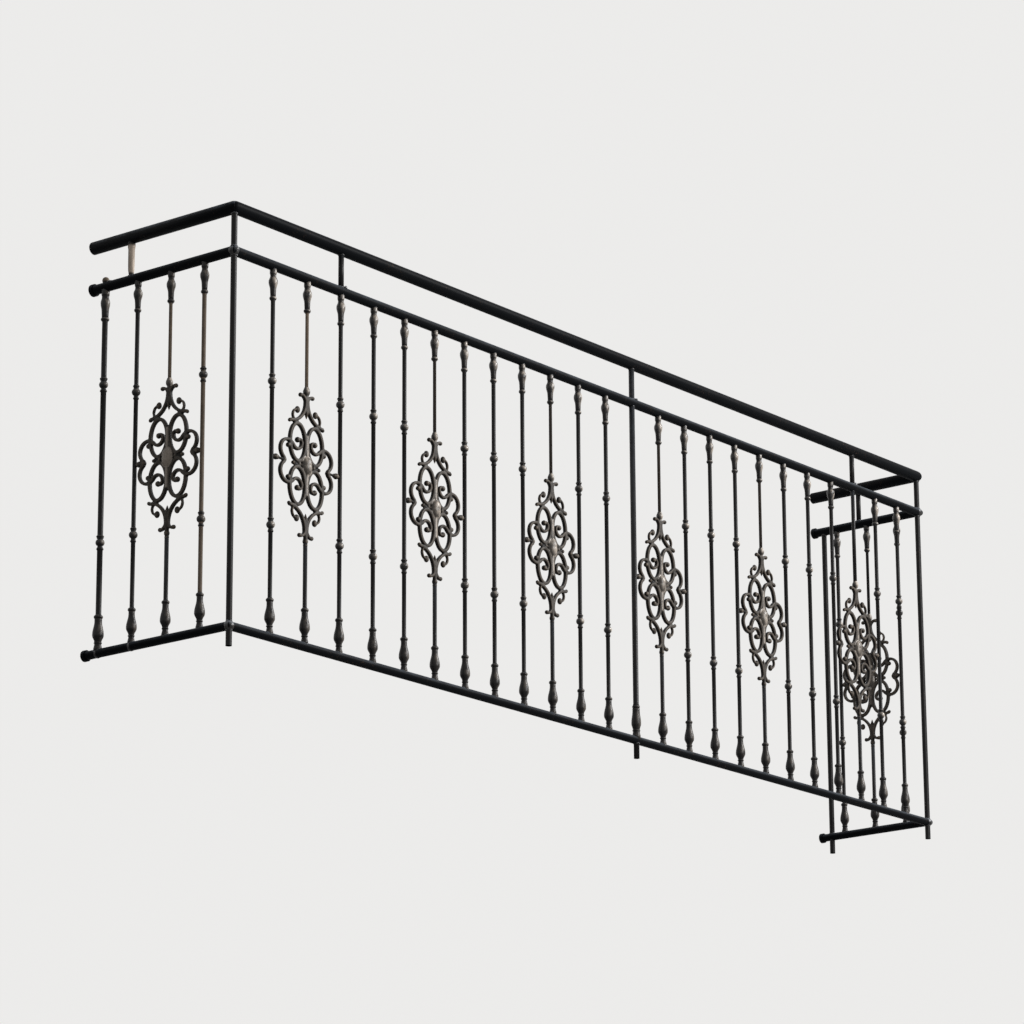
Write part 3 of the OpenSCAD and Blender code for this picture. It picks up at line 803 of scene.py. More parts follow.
CAST_DEPTH = 9.8
OVAL_BAR = 8.4
SCROLL_BAR = 7.4
THIN_BAR = SCROLL_BAR - 0.8
TIP_BAR = SCROLL_BAR - 2.8
STRAP_SIDES = 16
SQUARENESS = 5.0
OVAL_A = 25.5
OVAL_B = 43.5
OVAL_X = 29.0
OVAL_Z = 50.5
SIDE_X = 62.0
SIDE_Z = 25.5
SIDE_R = 24.0
SIDE_FROM = -62.0
CURL_X = 31.0
CURL_Z = 50.0
CURL_R = math.hypot(SIDE_X - CURL_X, SIDE_Z - CURL_Z) - SIDE_R
CURL_TURN = math.degrees(math.atan2(CURL_Z - SIDE_Z, CURL_X - SIDE_X))
HOOK_R = 8.0
HOOK_X = CURL_X - CURL_R + HOOK_R
HOOK_TO = 45.0
CUSP_X = SIDE_X + SIDE_R * math.cos(math.radians(SIDE_FROM))
NECK_X = 3.4
NECK_Z = 149.0
SWEEP_R = 51.0
LYRE_R = 15.0
TIP_X = 31.5
TIP_Z = 112.0
TIP_R = 14.5
TIP_FROM = 265.0
TIP_TO = 465.0
STEM_R = 5.1
STEM_TOP = 68.0
STEM_TIP = 77.0
TRUNK_TIP = 109.0
TRUNK_FOOT = 123.0
RIB_OUT = 3.4
RIB_R = 3.3
RIB_TOP = 70.0
SOCKET_Z = 178.0
SOCKET_DROP = 4.0
UPPER_SOCKET = (8.4, 8.4, 11.0)
LOWER_SOCKET = (6.6, 6.6, 8.0)
ROD_SEAT = 3.0
BOSS = (15.5, 13.8, 19.0)
BOSS_STRETCH = 4.0

# Radii of the balls at the ends of the scrolls
HOOK_BALL = 6.7
LYRE_BALL = 5.3
TIP_BALL = (7.0, 5.6, 8.4)
TIP_BEAD = 3.6
SWEEP_BALL = 4.6
SIDE_BALL = 6.0
CUSP_BALL = 6.0

# The thin rod across the middle: its reach and radius, and the places and radii of its balls
CROSS_ROD = (43.0, 2.4)
CROSS_BALLS = ((24.0, 5.8), (43.0, 4.9))

# The side pins: places measured back from the end, each followed by a radius
PIN_R = 3.1
PIN_COLLAR = (17.2, 14.2, 5.3)
PIN_BALL = (9.0, 7.2)
PIN_SEAT = (3.0, 4.6)

# How often the fused skin is smoothed, and how often its edge mask is spread
SMOOTH_ROUNDS = 2
SPREAD_ROUNDS = 3


def strap_section(bm, width, depth, at_x):
    """Cross-section of a strap: a circle drawn out to a rounded oblong."""
    made = bmesh.ops.create_circle(bm, cap_ends=True, segments=STRAP_SIDES, radius=1.0)
    power = 2 / SQUARENESS
    for vert in made["verts"]:
        across, along = vert.co.x, vert.co.y
        vert.co.x = at_x + width / 2 * math.copysign(abs(across) ** power, across)
        vert.co.y = depth / 2 * math.copysign(abs(along) ** power, along)
        vert.co.z = 0.0
    return made["verts"]


def strap_arc(bm, cx, cz, radius, start, end, width, depth=CAST_DEPTH):
    """Strap bent to an arc about (cx, cz), with round ends. start and end are in degrees."""
    fresh = bmesh.new()
    verts = strap_section(fresh, width, depth, radius)
    turn = Matrix.Rotation(math.radians(-start), 3, "Y")
    bmesh.ops.rotate(fresh, verts=verts, cent=(0, 0, 0), matrix=turn)
    steps = max(6, int(abs(end - start) * radius / 150))
    bmesh.ops.spin(
        fresh, geom=fresh.verts[:] + fresh.edges[:] + fresh.faces[:], cent=(0, 0, 0), axis=(0, -1, 0),
        dvec=(0, 0, 0), angle=math.radians(end - start), steps=steps)
    for turn in (math.radians(start), math.radians(end)):
        add_ball(fresh, radius * math.cos(turn), radius * math.sin(turn), width / 2, depth / 2)
    bmesh.ops.translate(fresh, verts=fresh.verts, vec=(cx, 0, cz))
    pour(fresh, bm)


def strap_oval(bm):
    """The oval ring of one quarter."""
    fresh = bmesh.new()
    base = (OVAL_A + OVAL_B) / 2
    strap_section(fresh, OVAL_BAR, CAST_DEPTH, base)
    bmesh.ops.delete(fresh, geom=fresh.faces[:], context="FACES_ONLY")
    bmesh.ops.spin(
        fresh, geom=fresh.verts[:] + fresh.edges[:], cent=(0, 0, 0), axis=(0, -1, 0),
        dvec=(0, 0, 0), angle=math.tau, steps=40, use_merge=True)
    for vert in fresh.verts:
        turn = math.atan2(vert.co.z, vert.co.x)
        out = math.hypot(vert.co.x, vert.co.z) - base
        normal = Vector((math.cos(turn) / OVAL_A, 0, math.sin(turn) / OVAL_B)).normalized()
        vert.co.x = OVAL_X + OVAL_A * math.cos(turn) + normal.x * out
        vert.co.z = OVAL_Z + OVAL_B * math.sin(turn) + normal.z * out
    pour(fresh, bm)


def pour(fresh, bm):
    """Adds one bmesh to another."""
    mesh = bpy.data.meshes.new("poured")
    fresh.to_mesh(mesh)
    fresh.free()
    bm.from_mesh(mesh)
    bpy.data.meshes.remove(mesh)


def add_ball(bm, x, z, radius, depth=None, height=None):
    """A ball or egg in the middle plane of a casting."""
    scale = Matrix.Diagonal((radius, depth or radius, height or radius, 1))
    place = Matrix.Translation((x, 0, z))
    bmesh.ops.create_icosphere(bm, subdivisions=3, radius=1.0, matrix=place @ scale)


def add_rod(bm, start, end, radius, end_radius=None):
    """A round rod or cone between two points."""
    start, end = Vector(start), Vector(end)
    along = end - start
    turn = along.to_track_quat("Z", "Y").to_matrix().to_4x4()
    place = Matrix.Translation((start + end) / 2) @ turn
    bmesh.ops.create_cone(
        bm, cap_ends=True, segments=20, radius1=radius, radius2=radius if end_radius is None else end_radius,
        depth=along.length, matrix=place)


def add_quarter(bm):
    """Straps and balls of the upper right quarter."""
    strap_oval(bm)
    strap_arc(bm, SIDE_X, SIDE_Z, SIDE_R, SIDE_FROM, CURL_TURN, SCROLL_BAR)
    strap_arc(bm, CURL_X, CURL_Z, CURL_R, 180, CURL_TURN + 180, SCROLL_BAR)
    strap_arc(bm, HOOK_X, CURL_Z, HOOK_R, HOOK_TO, 180, THIN_BAR)
    strap_arc(bm, NECK_X + SWEEP_R, NECK_Z, SWEEP_R, 180, 270, SCROLL_BAR)
    strap_arc(bm, NECK_X + LYRE_R, NECK_Z, LYRE_R, 90, 180, THIN_BAR)
    strap_arc(bm, TIP_X, TIP_Z, TIP_R, TIP_FROM, TIP_TO, TIP_BAR, CAST_DEPTH - 2)
    turn = math.radians(HOOK_TO)
    add_ball(bm, HOOK_X + HOOK_R * math.cos(turn), CURL_Z + HOOK_R * math.sin(turn), HOOK_BALL)
    add_ball(bm, NECK_X + LYRE_R + 2, NECK_Z + LYRE_R - 0.8, LYRE_BALL)
    turn = math.radians(TIP_TO)
    add_ball(bm, TIP_X + TIP_R * math.cos(turn) + 2.5, TIP_Z + TIP_R * math.sin(turn), *TIP_BALL)
    add_ball(bm, TIP_X + TIP_R - 0.6, TIP_Z + 3, TIP_BEAD)
    add_ball(bm, NECK_X + SWEEP_R + 1.5, NECK_Z - SWEEP_R - 2, SWEEP_BALL)
    add_ball(bm, 60, 37, SIDE_BALL)


def add_pin(bm, side, reach):
    """Pin from the side bracket's cusp to the next upright, with a collar, a ball and a seat."""

    def rod(start, end, radius):
        add_rod(bm, (side * start, 0, 0), (side * end, 0, 0), radius)

    rod(CUSP_X - 2, reach, PIN_R)
    rod(reach - PIN_COLLAR[0], reach - PIN_COLLAR[1], PIN_COLLAR[2])
    add_ball(bm, side * (reach - PIN_BALL[0]), 0, PIN_BALL[1])
    rod(reach - PIN_SEAT[0], reach, PIN_SEAT[1])
    add_ball(bm, side * CUSP_X, 0, CUSP_BALL)


def add_stem(bm):
    """Upper half of the stem and trunk, both drawn to a point where they face, and the ring below the rod."""

    def rod(low, high, radius, end_radius=None, out=0.0):
        add_rod(bm, (0, out, low), (0, out, high), radius, end_radius)

    rod(0, STEM_TOP, STEM_R)
    rod(STEM_TOP, STEM_TIP, STEM_R, 1.2)
    rod(TRUNK_TIP, TRUNK_FOOT, 0.8, STEM_R)
    for out in (-RIB_OUT, RIB_OUT):
        rod(0, RIB_TOP, RIB_R, out=out)
    rod(TRUNK_FOOT, SOCKET_Z, STEM_R)
    rod(SOCKET_Z + 4.5, SOCKET_Z + 7.5, 5.6)


def casting_bars(left, right):
    """All bars of a casting, still loose, in millimetres. left and right are how far its side pins reach."""
    bm = bmesh.new()
    add_quarter(bm)
    add_stem(bm)
    for axis in "XZ":
        bmesh.ops.mirror(bm, geom=bm.verts[:] + bm.edges[:] + bm.faces[:], axis=axis, merge_dist=-1)
    add_ball(bm, 0, SOCKET_Z - SOCKET_DROP, *UPPER_SOCKET)
    add_ball(bm, 0, SOCKET_DROP - SOCKET_Z, *LOWER_SOCKET)
    for z in (-BOSS_STRETCH, BOSS_STRETCH):
        add_ball(bm, 0, z, *BOSS)
    reach, radius = CROSS_ROD
    add_rod(bm, (-reach, 0, 0), (reach, 0, 0), radius)
    for side in (-1, 1):
        for place, radius in CROSS_BALLS:
            add_ball(bm, side * place, 0, radius)
    add_pin(bm, -1, left)
    add_pin(bm, 1, right)
    bmesh.ops.recalc_face_normals(bm, faces=bm.faces)
    return bm


def fuse(bm, cell):
    """Fuses loose closed bars into one skin of even cells and softens it, as in a casting."""
    mesh = bpy.data.meshes.new("loose_bars")
    bm.to_mesh(mesh)
    bm.free()
    carrier = bpy.data.objects.new("loose_bars", mesh)
    bpy.context.scene.collection.objects.link(carrier)
    remesh = carrier.modifiers.new("Fuse", "REMESH")
    remesh.mode = "VOXEL"
    remesh.voxel_size = cell
    graph = bpy.context.evaluated_depsgraph_get()
    fused = bpy.data.meshes.new_from_object(carrier.evaluated_get(graph))
    bpy.data.objects.remove(carrier)
    bpy.data.meshes.remove(mesh)
    skin = bmesh.new()
    skin.from_mesh(fused)
    bpy.data.meshes.remove(fused)
    for _ in range(SMOOTH_ROUNDS):
        bmesh.ops.smooth_vert(
            skin, verts=skin.verts, factor=0.5, use_axis_x=True, use_axis_y=True, use_axis_z=True)
    return skin


def read_vectors(items, name):
    """One vector per vertex of a mesh, as rows."""
    values = np.empty(len(items) * 3)
    items.foreach_get(name, values)
    return values.reshape(-1, 3)


def ramp(values, low, high):
    """0 below low, 1 above high and straight between, for a whole column."""
    return np.clip((values - low) / (high - low), 0.0, 1.0)


def bulge(mesh, places, normals, cell):
    """How far each vertex stands out of its neighbours, as a share of a cell.

    It is above 0 on edges and below 0 in crevices.
    """
    ends = np.empty(len(mesh.edges) * 2, dtype=np.int64)
    mesh.edges.foreach_get("vertices", ends)
    first, second = ends[0::2], ends[1::2]
    size = len(places)
    count = np.bincount(ends, minlength=size)

    def around(values):
        return (np.bincount(first, values[second], size) + np.bincount(second, values[first], size)) / count

    mean = np.stack([around(places[:, axis]) for axis in range(3)], axis=1)
    out = ((places - mean) * normals).sum(axis=1) / cell
    for _ in range(SPREAD_ROUNDS):
        out = (out + around(out)) / 2
    return out


def mark_cast(piece, centre, sideways, bare):
    """Marks where a casting's paint wears and where light is laid into its colour: face on flat straps, paler
    rims where they turn, and raised work and pale worn boss and stem.

    Raised is its boss, stem, balls and upper socket. Bared is the boss and stem alone, by the share bare.
    """
    mesh = piece.data
    along, across = (1, 0) if sideways else (0, 1)
    places = (read_vectors(mesh.vertices, "co") - np.array(centre)) / MM
    normals = read_vectors(mesh.vertices, "normal")
    side, out, up = np.abs(places[:, along]), np.abs(places[:, across]), np.abs(places[:, 2])
    turned = bulge(mesh, places, normals, sizes().voxel / MM)
    facing = np.abs(normals[:, across])
    face = ramp(facing, 0.72, 0.96) * ramp(out, 3.2, 4.4)
    # Painted highlight as well as wear: the convex rims of the straps get the paler worn colour.
    worn_lit_edge = ramp(turned, 0.03, 0.11) * ramp(facing, 0.35, 0.8)
    tall = np.maximum(up - BOSS_STRETCH, 0.0)
    egg = np.sqrt((side / BOSS[0]) ** 2 + (out / BOSS[1]) ** 2 + (tall / BOSS[2]) ** 2)
    boss = ramp(1.14 - egg, 0.0, 0.08) * ramp(out, 1.5, 4.0)
    stem = ramp(5.0 - side, 0.0, 1.5) * ramp(out, 4.6, 5.8) * ramp(STEM_TIP - 1 - up, 0.0, 8.0) * 0.85
    socket = ramp(14.0 - np.hypot(side, places[:, 2] - SOCKET_Z + SOCKET_DROP), 0.0, 4.0)
    balls = ramp(out, 5.1, 5.6) * 0.2
    # Painted shade: the pale wear is kept out of the crevices so that they stay dark.
    raised = np.maximum.reduce([stem, socket, balls]) * ramp(turned, -0.06, 0.0)
    raised = np.maximum(raised, boss * 0.85)
    # Pale bare colour on the boss and stem by the share bare; on the left casting it is a painted highlight as
    # well as wear, standing in for light that its side does not get.
    bared_and_lit = np.maximum(boss, stem) * bare
    for name, values in (("face", face), ("worn_lit_edge", worn_lit_edge), ("raised", raised), ("bared_and_lit", bared_and_lit)):
        store_marks(piece, name, values)


def make_casting(name, node, x, y, sideways, wear, bare=0.06, plain=False):
    """One casting with its own upright, in place of its frame node.

    wear is how worn the rod above it is, bare how pale its boss and stem are all round, which on the left
    casting also lays light into their colour where the lamps leave them dark.
    plain gives it no vase above.
    """
    s = sizes()
    low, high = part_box(node)
    along = 1 if sideways else 0
    axis = (x, y)[along]
    skin = fuse(casting_bars((axis - low[along]) / MM, (high[along] - axis) / MM), s.voxel / MM)
    turn = Matrix.Rotation(math.radians(90 if sideways else 0), 4, "Z")
    place = Matrix.Translation((x, y, s.casting_middle)) @ turn @ Matrix.Scale(MM, 4)
    bmesh.ops.transform(skin, matrix=place, verts=skin.verts)
    bmesh.ops.recalc_face_normals(skin, faces=skin.faces)
    casting = add_piece(skin, name, "castings", node)
    mark_cast(casting, (x, y, s.casting_middle), sideways, bare)
    bm = bmesh.new()
    shaft = s.shaft_radius
    socket = (SOCKET_Z - ROD_SEAT) * MM
    below, above = s.casting_middle - socket, s.casting_middle + socket
    lower = foot_vase(shaft, URN_R, s.ring_radius) + [(shaft, below)]
    if plain:
        upper = [(shaft, above), (shaft, MID_Z)]
    else:
        head = head_vase(shaft, s.vase_radius, s.ring_radius - 1 * MM)
        upper = [(s.thin_radius, above), (s.thin_radius, head[0][1])] + head[1:]
    for line in (lower, upper):
        turn_line(bm, line, x, y, s.turned_sides)
    close_up(bm)
    rod = add_piece(bm, name + "_rod", "uprights")
    mark_turned(rod, [(x, y)], shaft, s.ring_radius, lambda co: wear if co.z > s.casting_middle else 0.0)


# Welds

PLAIN_RING_R = 3.0
BAND_WIDTH = 7 * MM


def weld_ring(bm, x, y, z_at, radius, size, seed):
    """Lumpy weld bead round an upright, which follows the rail that it sits on."""
    fresh = bmesh.new()
    made = bmesh.ops.create_circle(fresh, cap_ends=False, segments=8, radius=1.0)
    turn = Matrix.Rotation(math.radians(90), 3, "X")
    bmesh.ops.rotate(fresh, verts=made["verts"], cent=(0, 0, 0), matrix=turn)
    bmesh.ops.translate(fresh, verts=made["verts"], vec=(PLAIN_RING_R, 0, 0))
    bmesh.ops.spin(
        fresh, geom=fresh.verts[:] + fresh.edges[:], cent=(0, 0, 0), axis=(0, 0, 1),
        dvec=(0, 0, 0), angle=math.tau, steps=28, use_merge=True)
    for vert in fresh.verts:
        bearing = math.atan2(vert.co.y, vert.co.x)
        out = math.hypot(vert.co.x, vert.co.y) - PLAIN_RING_R
        up = vert.co.z
        place = Vector((math.cos(bearing), math.sin(bearing), 0))
        growth = 0.75 + 0.55 * noise.noise(place * 1.7 + Vector((seed, 0, 0)))
        growth += 0.12 * math.sin(bearing * 9 + seed)
        spot = place * (radius + out * size * growth)
        vert.co = Vector((x + spot.x, y + spot.y, z_at(place * radius) + up * size * growth))
    pour(fresh, bm)


def on_rail(rail, along, upper):
    """Height of a round rail's skin at a place beside the upright's axis.

    along is ALONG_X, ALONG_Y or CORNER, where two rails meet.
    """
    rail_z, rail_r = rail
    sign = 1 if upper else -1

    def height(place):
        beside = min(abs(place[0]), abs(place[1])) if along == CORNER else place[1 - along]
        return rail_z + sign * math.sqrt(max(rail_r ** 2 - beside ** 2, 0.0))

    return height


def weld_member(bm, x, y, along, neck, foot, seed):
    """Welds at the head and foot of one turned upright."""
    size = sizes().weld
    weld_ring(bm, x, y, on_rail(MID_RAIL, along, False), neck, size * 0.65, seed)
    weld_ring(bm, x, y, on_rail(LOW_RAIL, along, True), foot, size * 0.8, seed + 0.5)


def lump(bm, place, size, seed, rough):
    """A lumpy ball or egg of weld metal. place is its middle and size its three radii."""
    fresh = bmesh.new()
    bmesh.ops.create_icosphere(fresh, subdivisions=3, radius=1.0)
    for vert in fresh.verts:
        coarse = noise.noise(vert.co * 1.6 + Vector((seed, 0, 0)))
        fine = noise.noise(vert.co * 4 + Vector((0, seed, 0)))
        out = 1 + rough * coarse + rough * 0.4 * fine
        vert.co = Vector(place) + Vector([part * radius for part, radius in zip(vert.co, size)]) * out
    pour(fresh, bm)


def weld_band(bm, y, seed):
    """A lumpy band of weld metal round the left return's bottom rail."""
    fresh = bmesh.new()
    line = bead_line(-BAND_WIDTH / 2, BAND_WIDTH / 2, LOW_R - 1 * MM, LOW_R + 1 * MM, 6)
    turn_line(fresh, line, 0.0, 0.0, 24)
    for vert in fresh.verts:
        vert.co.z += 1.2 * MM * noise.noise(vert.co * 120 + Vector((seed, 0, 0)))
    place = Matrix.Translation((LEFT_X, y, LOW_Z)) @ Matrix.Rotation(math.radians(90), 4, "X")
    bmesh.ops.transform(fresh, matrix=place, verts=fresh.verts)
    pour(fresh, bm)


# Operators


class RAILING_OT_stage(bpy.types.Operator):
    """Makes the camera, the floor, the soft lights and the background"""

    bl_idname = "railing.stage"
    bl_label = "Make Camera and Stage"

    def execute(self, context):
        s = context.scene.railing_stage
        camera = bpy.data.objects.new("camera", bpy.data.cameras.new("camera"))
        context.scene.collection.objects.link(camera)
        camera.data.sensor_width = 36.0
        camera.data.lens = s.lens
        camera.data.clip_end = 100.0
        level = math.cos(s.rise)
        ahead = Vector((math.sin(s.heading) * level, math.cos(s.heading) * level, math.sin(s.rise)))
        camera.rotation_mode = "QUATERNION"
        camera.rotation_quaternion = ahead.to_track_quat("-Z", "Y") @ Quaternion((0, 0, 1), -s.roll)
        camera.location = s.camera_place
        context.scene.camera = camera
        self.make_floor(context)
        self.make_world(context)
        self.make_light(context, "key_light", (4.2, -4.8, 4.4), 3.2, s.key_power)
        self.make_light(context, "fill_light", (0.4, -6.6, 2.4), 3.0, s.fill_power)
        context.scene.view_settings.view_transform = "Standard"
        return {"FINISHED"}

    def make_floor(self, context):
        """A pale floor that can't be seen from below."""
        bm = bmesh.new()
        bmesh.ops.create_grid(bm, x_segments=1, y_segments=1, size=20.0)
        mesh = bpy.data.meshes.new("floor")
        bm.to_mesh(mesh)
        bm.free()
        floor = bpy.data.objects.new("floor", mesh)
        context.scene.collection.objects.link(floor)
        material, tree, shader = start_material("pale_floor")
        shader.inputs["Base Color"].default_value = rgba(colours().floor)
        shader.inputs["Roughness"].default_value = 0.9
        clear = add_node(tree, "ShaderNodeBsdfTransparent")
        side = add_node(tree, "ShaderNodeNewGeometry")
        mix = add_node(tree, "ShaderNodeMixShader")
        output = tree.nodes["Material Output"]
        link(tree, side, "Backfacing", mix, 0)
        link(tree, shader, "BSDF", mix, 1)
        link(tree, clear, "BSDF", mix, 2)
        link(tree, mix, "Shader", output, "Surface")
        mesh.materials.append(material)

    def make_world(self, context):
        """Light from all round, and a plain backdrop for the camera, for gloss and for glass."""
        world = bpy.data.worlds.new("studio")
        context.scene.world = world
        world.use_nodes = True
        tree = world.node_tree
        tree.nodes.clear()
        seen = add_node(tree, "ShaderNodeBackground")
        seen.inputs["Color"].default_value = rgba(colours().backdrop)
        light = add_node(tree, "ShaderNodeBackground")
        light.inputs["Color"].default_value = (0.93, 0.96, 1.0, 1.0)
        light.inputs["Strength"].default_value = context.scene.railing_stage.ambient
        ray = add_node(tree, "ShaderNodeLightPath")
        shown = math_node(tree, "MAXIMUM", ray.outputs["Is Camera Ray"], ray.outputs["Is Glossy Ray"])
        shown = math_node(tree, "MAXIMUM", shown, ray.outputs["Is Transmission Ray"])
        mix = add_node(tree, "ShaderNodeMixShader")
        output = add_node(tree, "ShaderNodeOutputWorld")
        tree.links.new(shown, mix.inputs[0])
        link(tree, light, "Background", mix, 1)
        link(tree, seen, "Background", mix, 2)
        link(tree, mix, "Shader", output, "Surface")

    def make_light(self, context, name, place, size, power):
        """A soft round lamp that faces the railing's middle."""
        lamp = bpy.data.lights.new(name, "AREA")
        lamp.shape = "DISK"
        lamp.size = size
        lamp.energy = power
        light = bpy.data.objects.new(name, lamp)
        light.location = place
        light.rotation_mode = "QUATERNION"
        light.rotation_quaternion = (Vector((0, 0, 0.5)) - Vector(place)).to_track_quat("-Z", "Y")
        context.scene.collection.objects.link(light)


class RAILING_OT_rails(bpy.types.Operator):
    """Gives the two lower rails their enamel and bends the handrail round its corners"""

    bl_idname = "railing.rails"
    bl_label = "Finish Rails"

    def execute(self, context):
        for rail in ("mid_rail", "bottom_rail"):
            for part in ("front", "left", "right"):
                refinish(f"{rail}_{part}", "rails")
        count = sizes().turned_sides + EXTRA_SIDES
        near, far = range(45, -1, -ELBOW_STEP), range(45, 91, ELBOW_STEP)
        left_end, right_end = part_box("handrail_left")[1].y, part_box("handrail_right")[1].y
        front, left, right = [], [], []
        for side in range(count):
            turn = math.tau * side / count
            out, z = HAND_R * math.cos(turn), HAND_Z + HAND_R * math.sin(turn)
            turned = corner_line(out, near)
            start = [(LEFT_X + x, y, z) for x, y in turned]
            end = [(RIGHT_X - x, y, z) for x, y in turned]
            front.append(start + end[::-1])
            turned = corner_line(out, far)
            left.append([(LEFT_X + x, y, z) for x, y in turned] + [(LEFT_X - out, left_end, z)])
            right.append([(RIGHT_X - x, y, z) for x, y in turned] + [(RIGHT_X + out, right_end, z)])
        handrail_bar("bent_handrail_front", "handrail", "handrail_front", front)
        # The left handrail's grey patches are chalking and a painted highlight both.
        handrail_bar("bent_handrail_left", "chalky_sheen", "handrail_left", left)
        handrail_bar("bent_handrail_right", "handrail", "handrail_right", right)
        return {"FINISHED"}


class RAILING_OT_posts(bpy.types.Operator):
    """Gives the plain posts and struts their enamel, and turns the middle post and the heavy upright"""

    bl_idname = "railing.posts"
    bl_label = "Finish Posts"

    def execute(self, context):
        for node in ("corner_post_left", "corner_post_right", "wall_post_right"):
            refinish(node, "uprights")
        s = sizes()
        bm = bmesh.new()
        line = [(POST_R, 0.0), (POST_R, LOW_Z)] + foot_vase(POST_R, URN_R, s.ring_radius + 0.5 * MM)
        turn_line(bm, line + [(POST_R, HAND_Z)], MIDDLE_X, 0.0, s.turned_sides)
        close_up(bm)
        post = add_piece(bm, "turned_middle_post", "uprights", "middle_post")
        mark_turned(post, [(MIDDLE_X, 0.0)], POST_R, s.ring_radius + 1.5 * MM)
        self.turn_heavy(s)
        self.turn_struts(s)
        self.turn_bare_strut(s)
        return {"FINISHED"}

    def turn_heavy(self, s):
        """The heavy upright beside the left wall, with its domed head above the mid rail."""
        bm = bmesh.new()
        shaft, head, rail_top = s.heavy_radius, s.head_radius, MID_Z + MID_R
        balls = (s.ball_middle - s.ball_offset, s.ball_middle + s.ball_offset + s.heavy_lift)
        vase, ring, ball = s.vase_radius + 0.5 * MM, s.ring_radius + 1.5 * MM, s.ball_radius + 0.4 * MM
        line = plain_line(shaft, URN_R + 1 * MM, vase, ring, balls, ball)
        line.append((head * 0.86, MID_Z))
        for step in range(7):
            turn = math.radians(-30 + 19 * step)
            line.append((head * math.cos(turn), rail_top + 4 * MM + head * math.sin(turn)))
        turn_line(bm, line, LEFT_X, HEAVY_Y, s.turned_sides)
        close_up(bm)
        upright = add_piece(bm, "heavy_upright", "uprights", "wall_post_left")
        mark_turned(upright, [(LEFT_X, HEAVY_Y)], shaft, ring)
        mark(upright, "domed", lambda co: step_up(co.z, rail_top, rail_top + 5 * MM))

    def turn_struts(self, s):
        """The short struts in black enamel between mid rail and handrail."""
        radius = s.strut_radius
        bm = bmesh.new()
        places = [(member_x(number), 0.0) for number in STRUT_MEMBERS] + [(RIGHT_X, RIGHT_STRUT_Y)]
        for x, y in places:
            turn_line(bm, [(radius, MID_Z), (radius, HAND_Z)], x, y, s.turned_sides)
        close_up(bm)
        struts = add_piece(bm, "round_struts", "uprights", "struts")
        mark_turned(struts, places, radius, radius * 2)

    def turn_bare_strut(self, s):
        """The left return's strut, worn to a pale stone colour."""
        bm = bmesh.new()
        low, high = MID_Z + MID_R, HAND_Z - HAND_R
        bare = s.bare_radius
        line = [(bare - 2 * MM, MID_Z), (bare - 2 * MM, low + 2 * MM)]
        line += swell(low + 4 * MM, bare - 1.4 * MM, low + 12 * MM, bare - 0.4 * MM, 4)
        line += [(bare - 0.1 * MM, low + 24 * MM), (bare, (low + high) / 2), (bare, high - 16 * MM)]
        line += swell(high - 14 * MM, bare + 0.1 * MM, high - 8 * MM, bare + 1.2 * MM, 3)
        line += [(bare + 1.2 * MM, high - 2 * MM), (bare + 1.2 * MM, HAND_Z)]
        turn_line(bm, line, LEFT_X, LEFT_STRUT_Y, s.turned_sides * 2)
        close_up(bm)
        strut = add_piece(bm, "bare_strut", "strut")
        rusty_side = Vector((0.62, -0.784, 0.0))

        def across(co):
            return (Vector((co.x - LEFT_X, co.y - LEFT_STRUT_Y, 0)).normalized()).dot(rusty_side)

        # Black at the head and foot where the paint holds, and along the left side, away from the light, as
        # painted shade.
        def paint_and_shade(co):
            head = step_up(co.z, high - 6 * MM, high - 3 * MM)
            foot = step_up(low + 8 * MM, co.z, co.z + 6 * MM)
            return max(head, foot, step_up(-across(co), 0.78, 0.92))

        def rusty(co):
            return 0.35 * step_up(across(co), 0.7, 0.95) * step_up(co.z, low + 30 * MM, low + 50 * MM)

        mark(strut, "paint_and_shade", paint_and_shade)
        mark(strut, "rusty", rusty)


class RAILING_OT_balusters(bpy.types.Operator):
    """Turns the plain balusters of the front and of both returns"""

    bl_idname = "railing.balusters"
    bl_label = "Turn Balusters"

    def execute(self, context):
        for row, members in FRONT_ROWS.items():
            axes = [(member_x(number), 0.0) for number in members]
            make_row(f"turned_front_{row}", f"balusters_front_{row}", axes)
        near, far = row_ends("balusters_left")
        between = (near + far) / 2
        axes = [(LEFT_X, near), (LEFT_X, far)]
        make_row("turned_left", "balusters_left", axes, lambda co: 0.7 if co.y < between else 0.0)
        axes = [(RIGHT_X, y) for y in row_ends("balusters_right")]
        make_row("turned_right", "balusters_right", axes)
        return {"FINISHED"}


class RAILING_OT_castings(bpy.types.Operator):
    """Casts the scrollwork and turns the uprights that carry it"""

    bl_idname = "railing.castings"
    bl_label = "Cast Scrollwork"

    def execute(self, context):
        for count, number in FRONT_CASTINGS.items():
            plain = number == PLAIN_MEMBER
            wear = 1.0 if count == 1 else 0.0 if plain else 0.15
            name, node = f"casting_front_{count}", f"rosette_front_{count}"
            make_casting(name, node, member_x(number), 0.0, False, wear, plain=plain)
        left_y, right_y = middle("balusters_left", 1), middle("balusters_right", 1)
        # Painted highlight as well as wear: the larger bare share brightens the boss and stem of the left
        # casting, which faces away from the light.
        make_casting("casting_left", "rosette_left", LEFT_X, left_y, True, 0.8, bare=0.32)
        make_casting("casting_right", "rosette_right", RIGHT_X, right_y, True, 0.0)
        return {"FINISHED"}


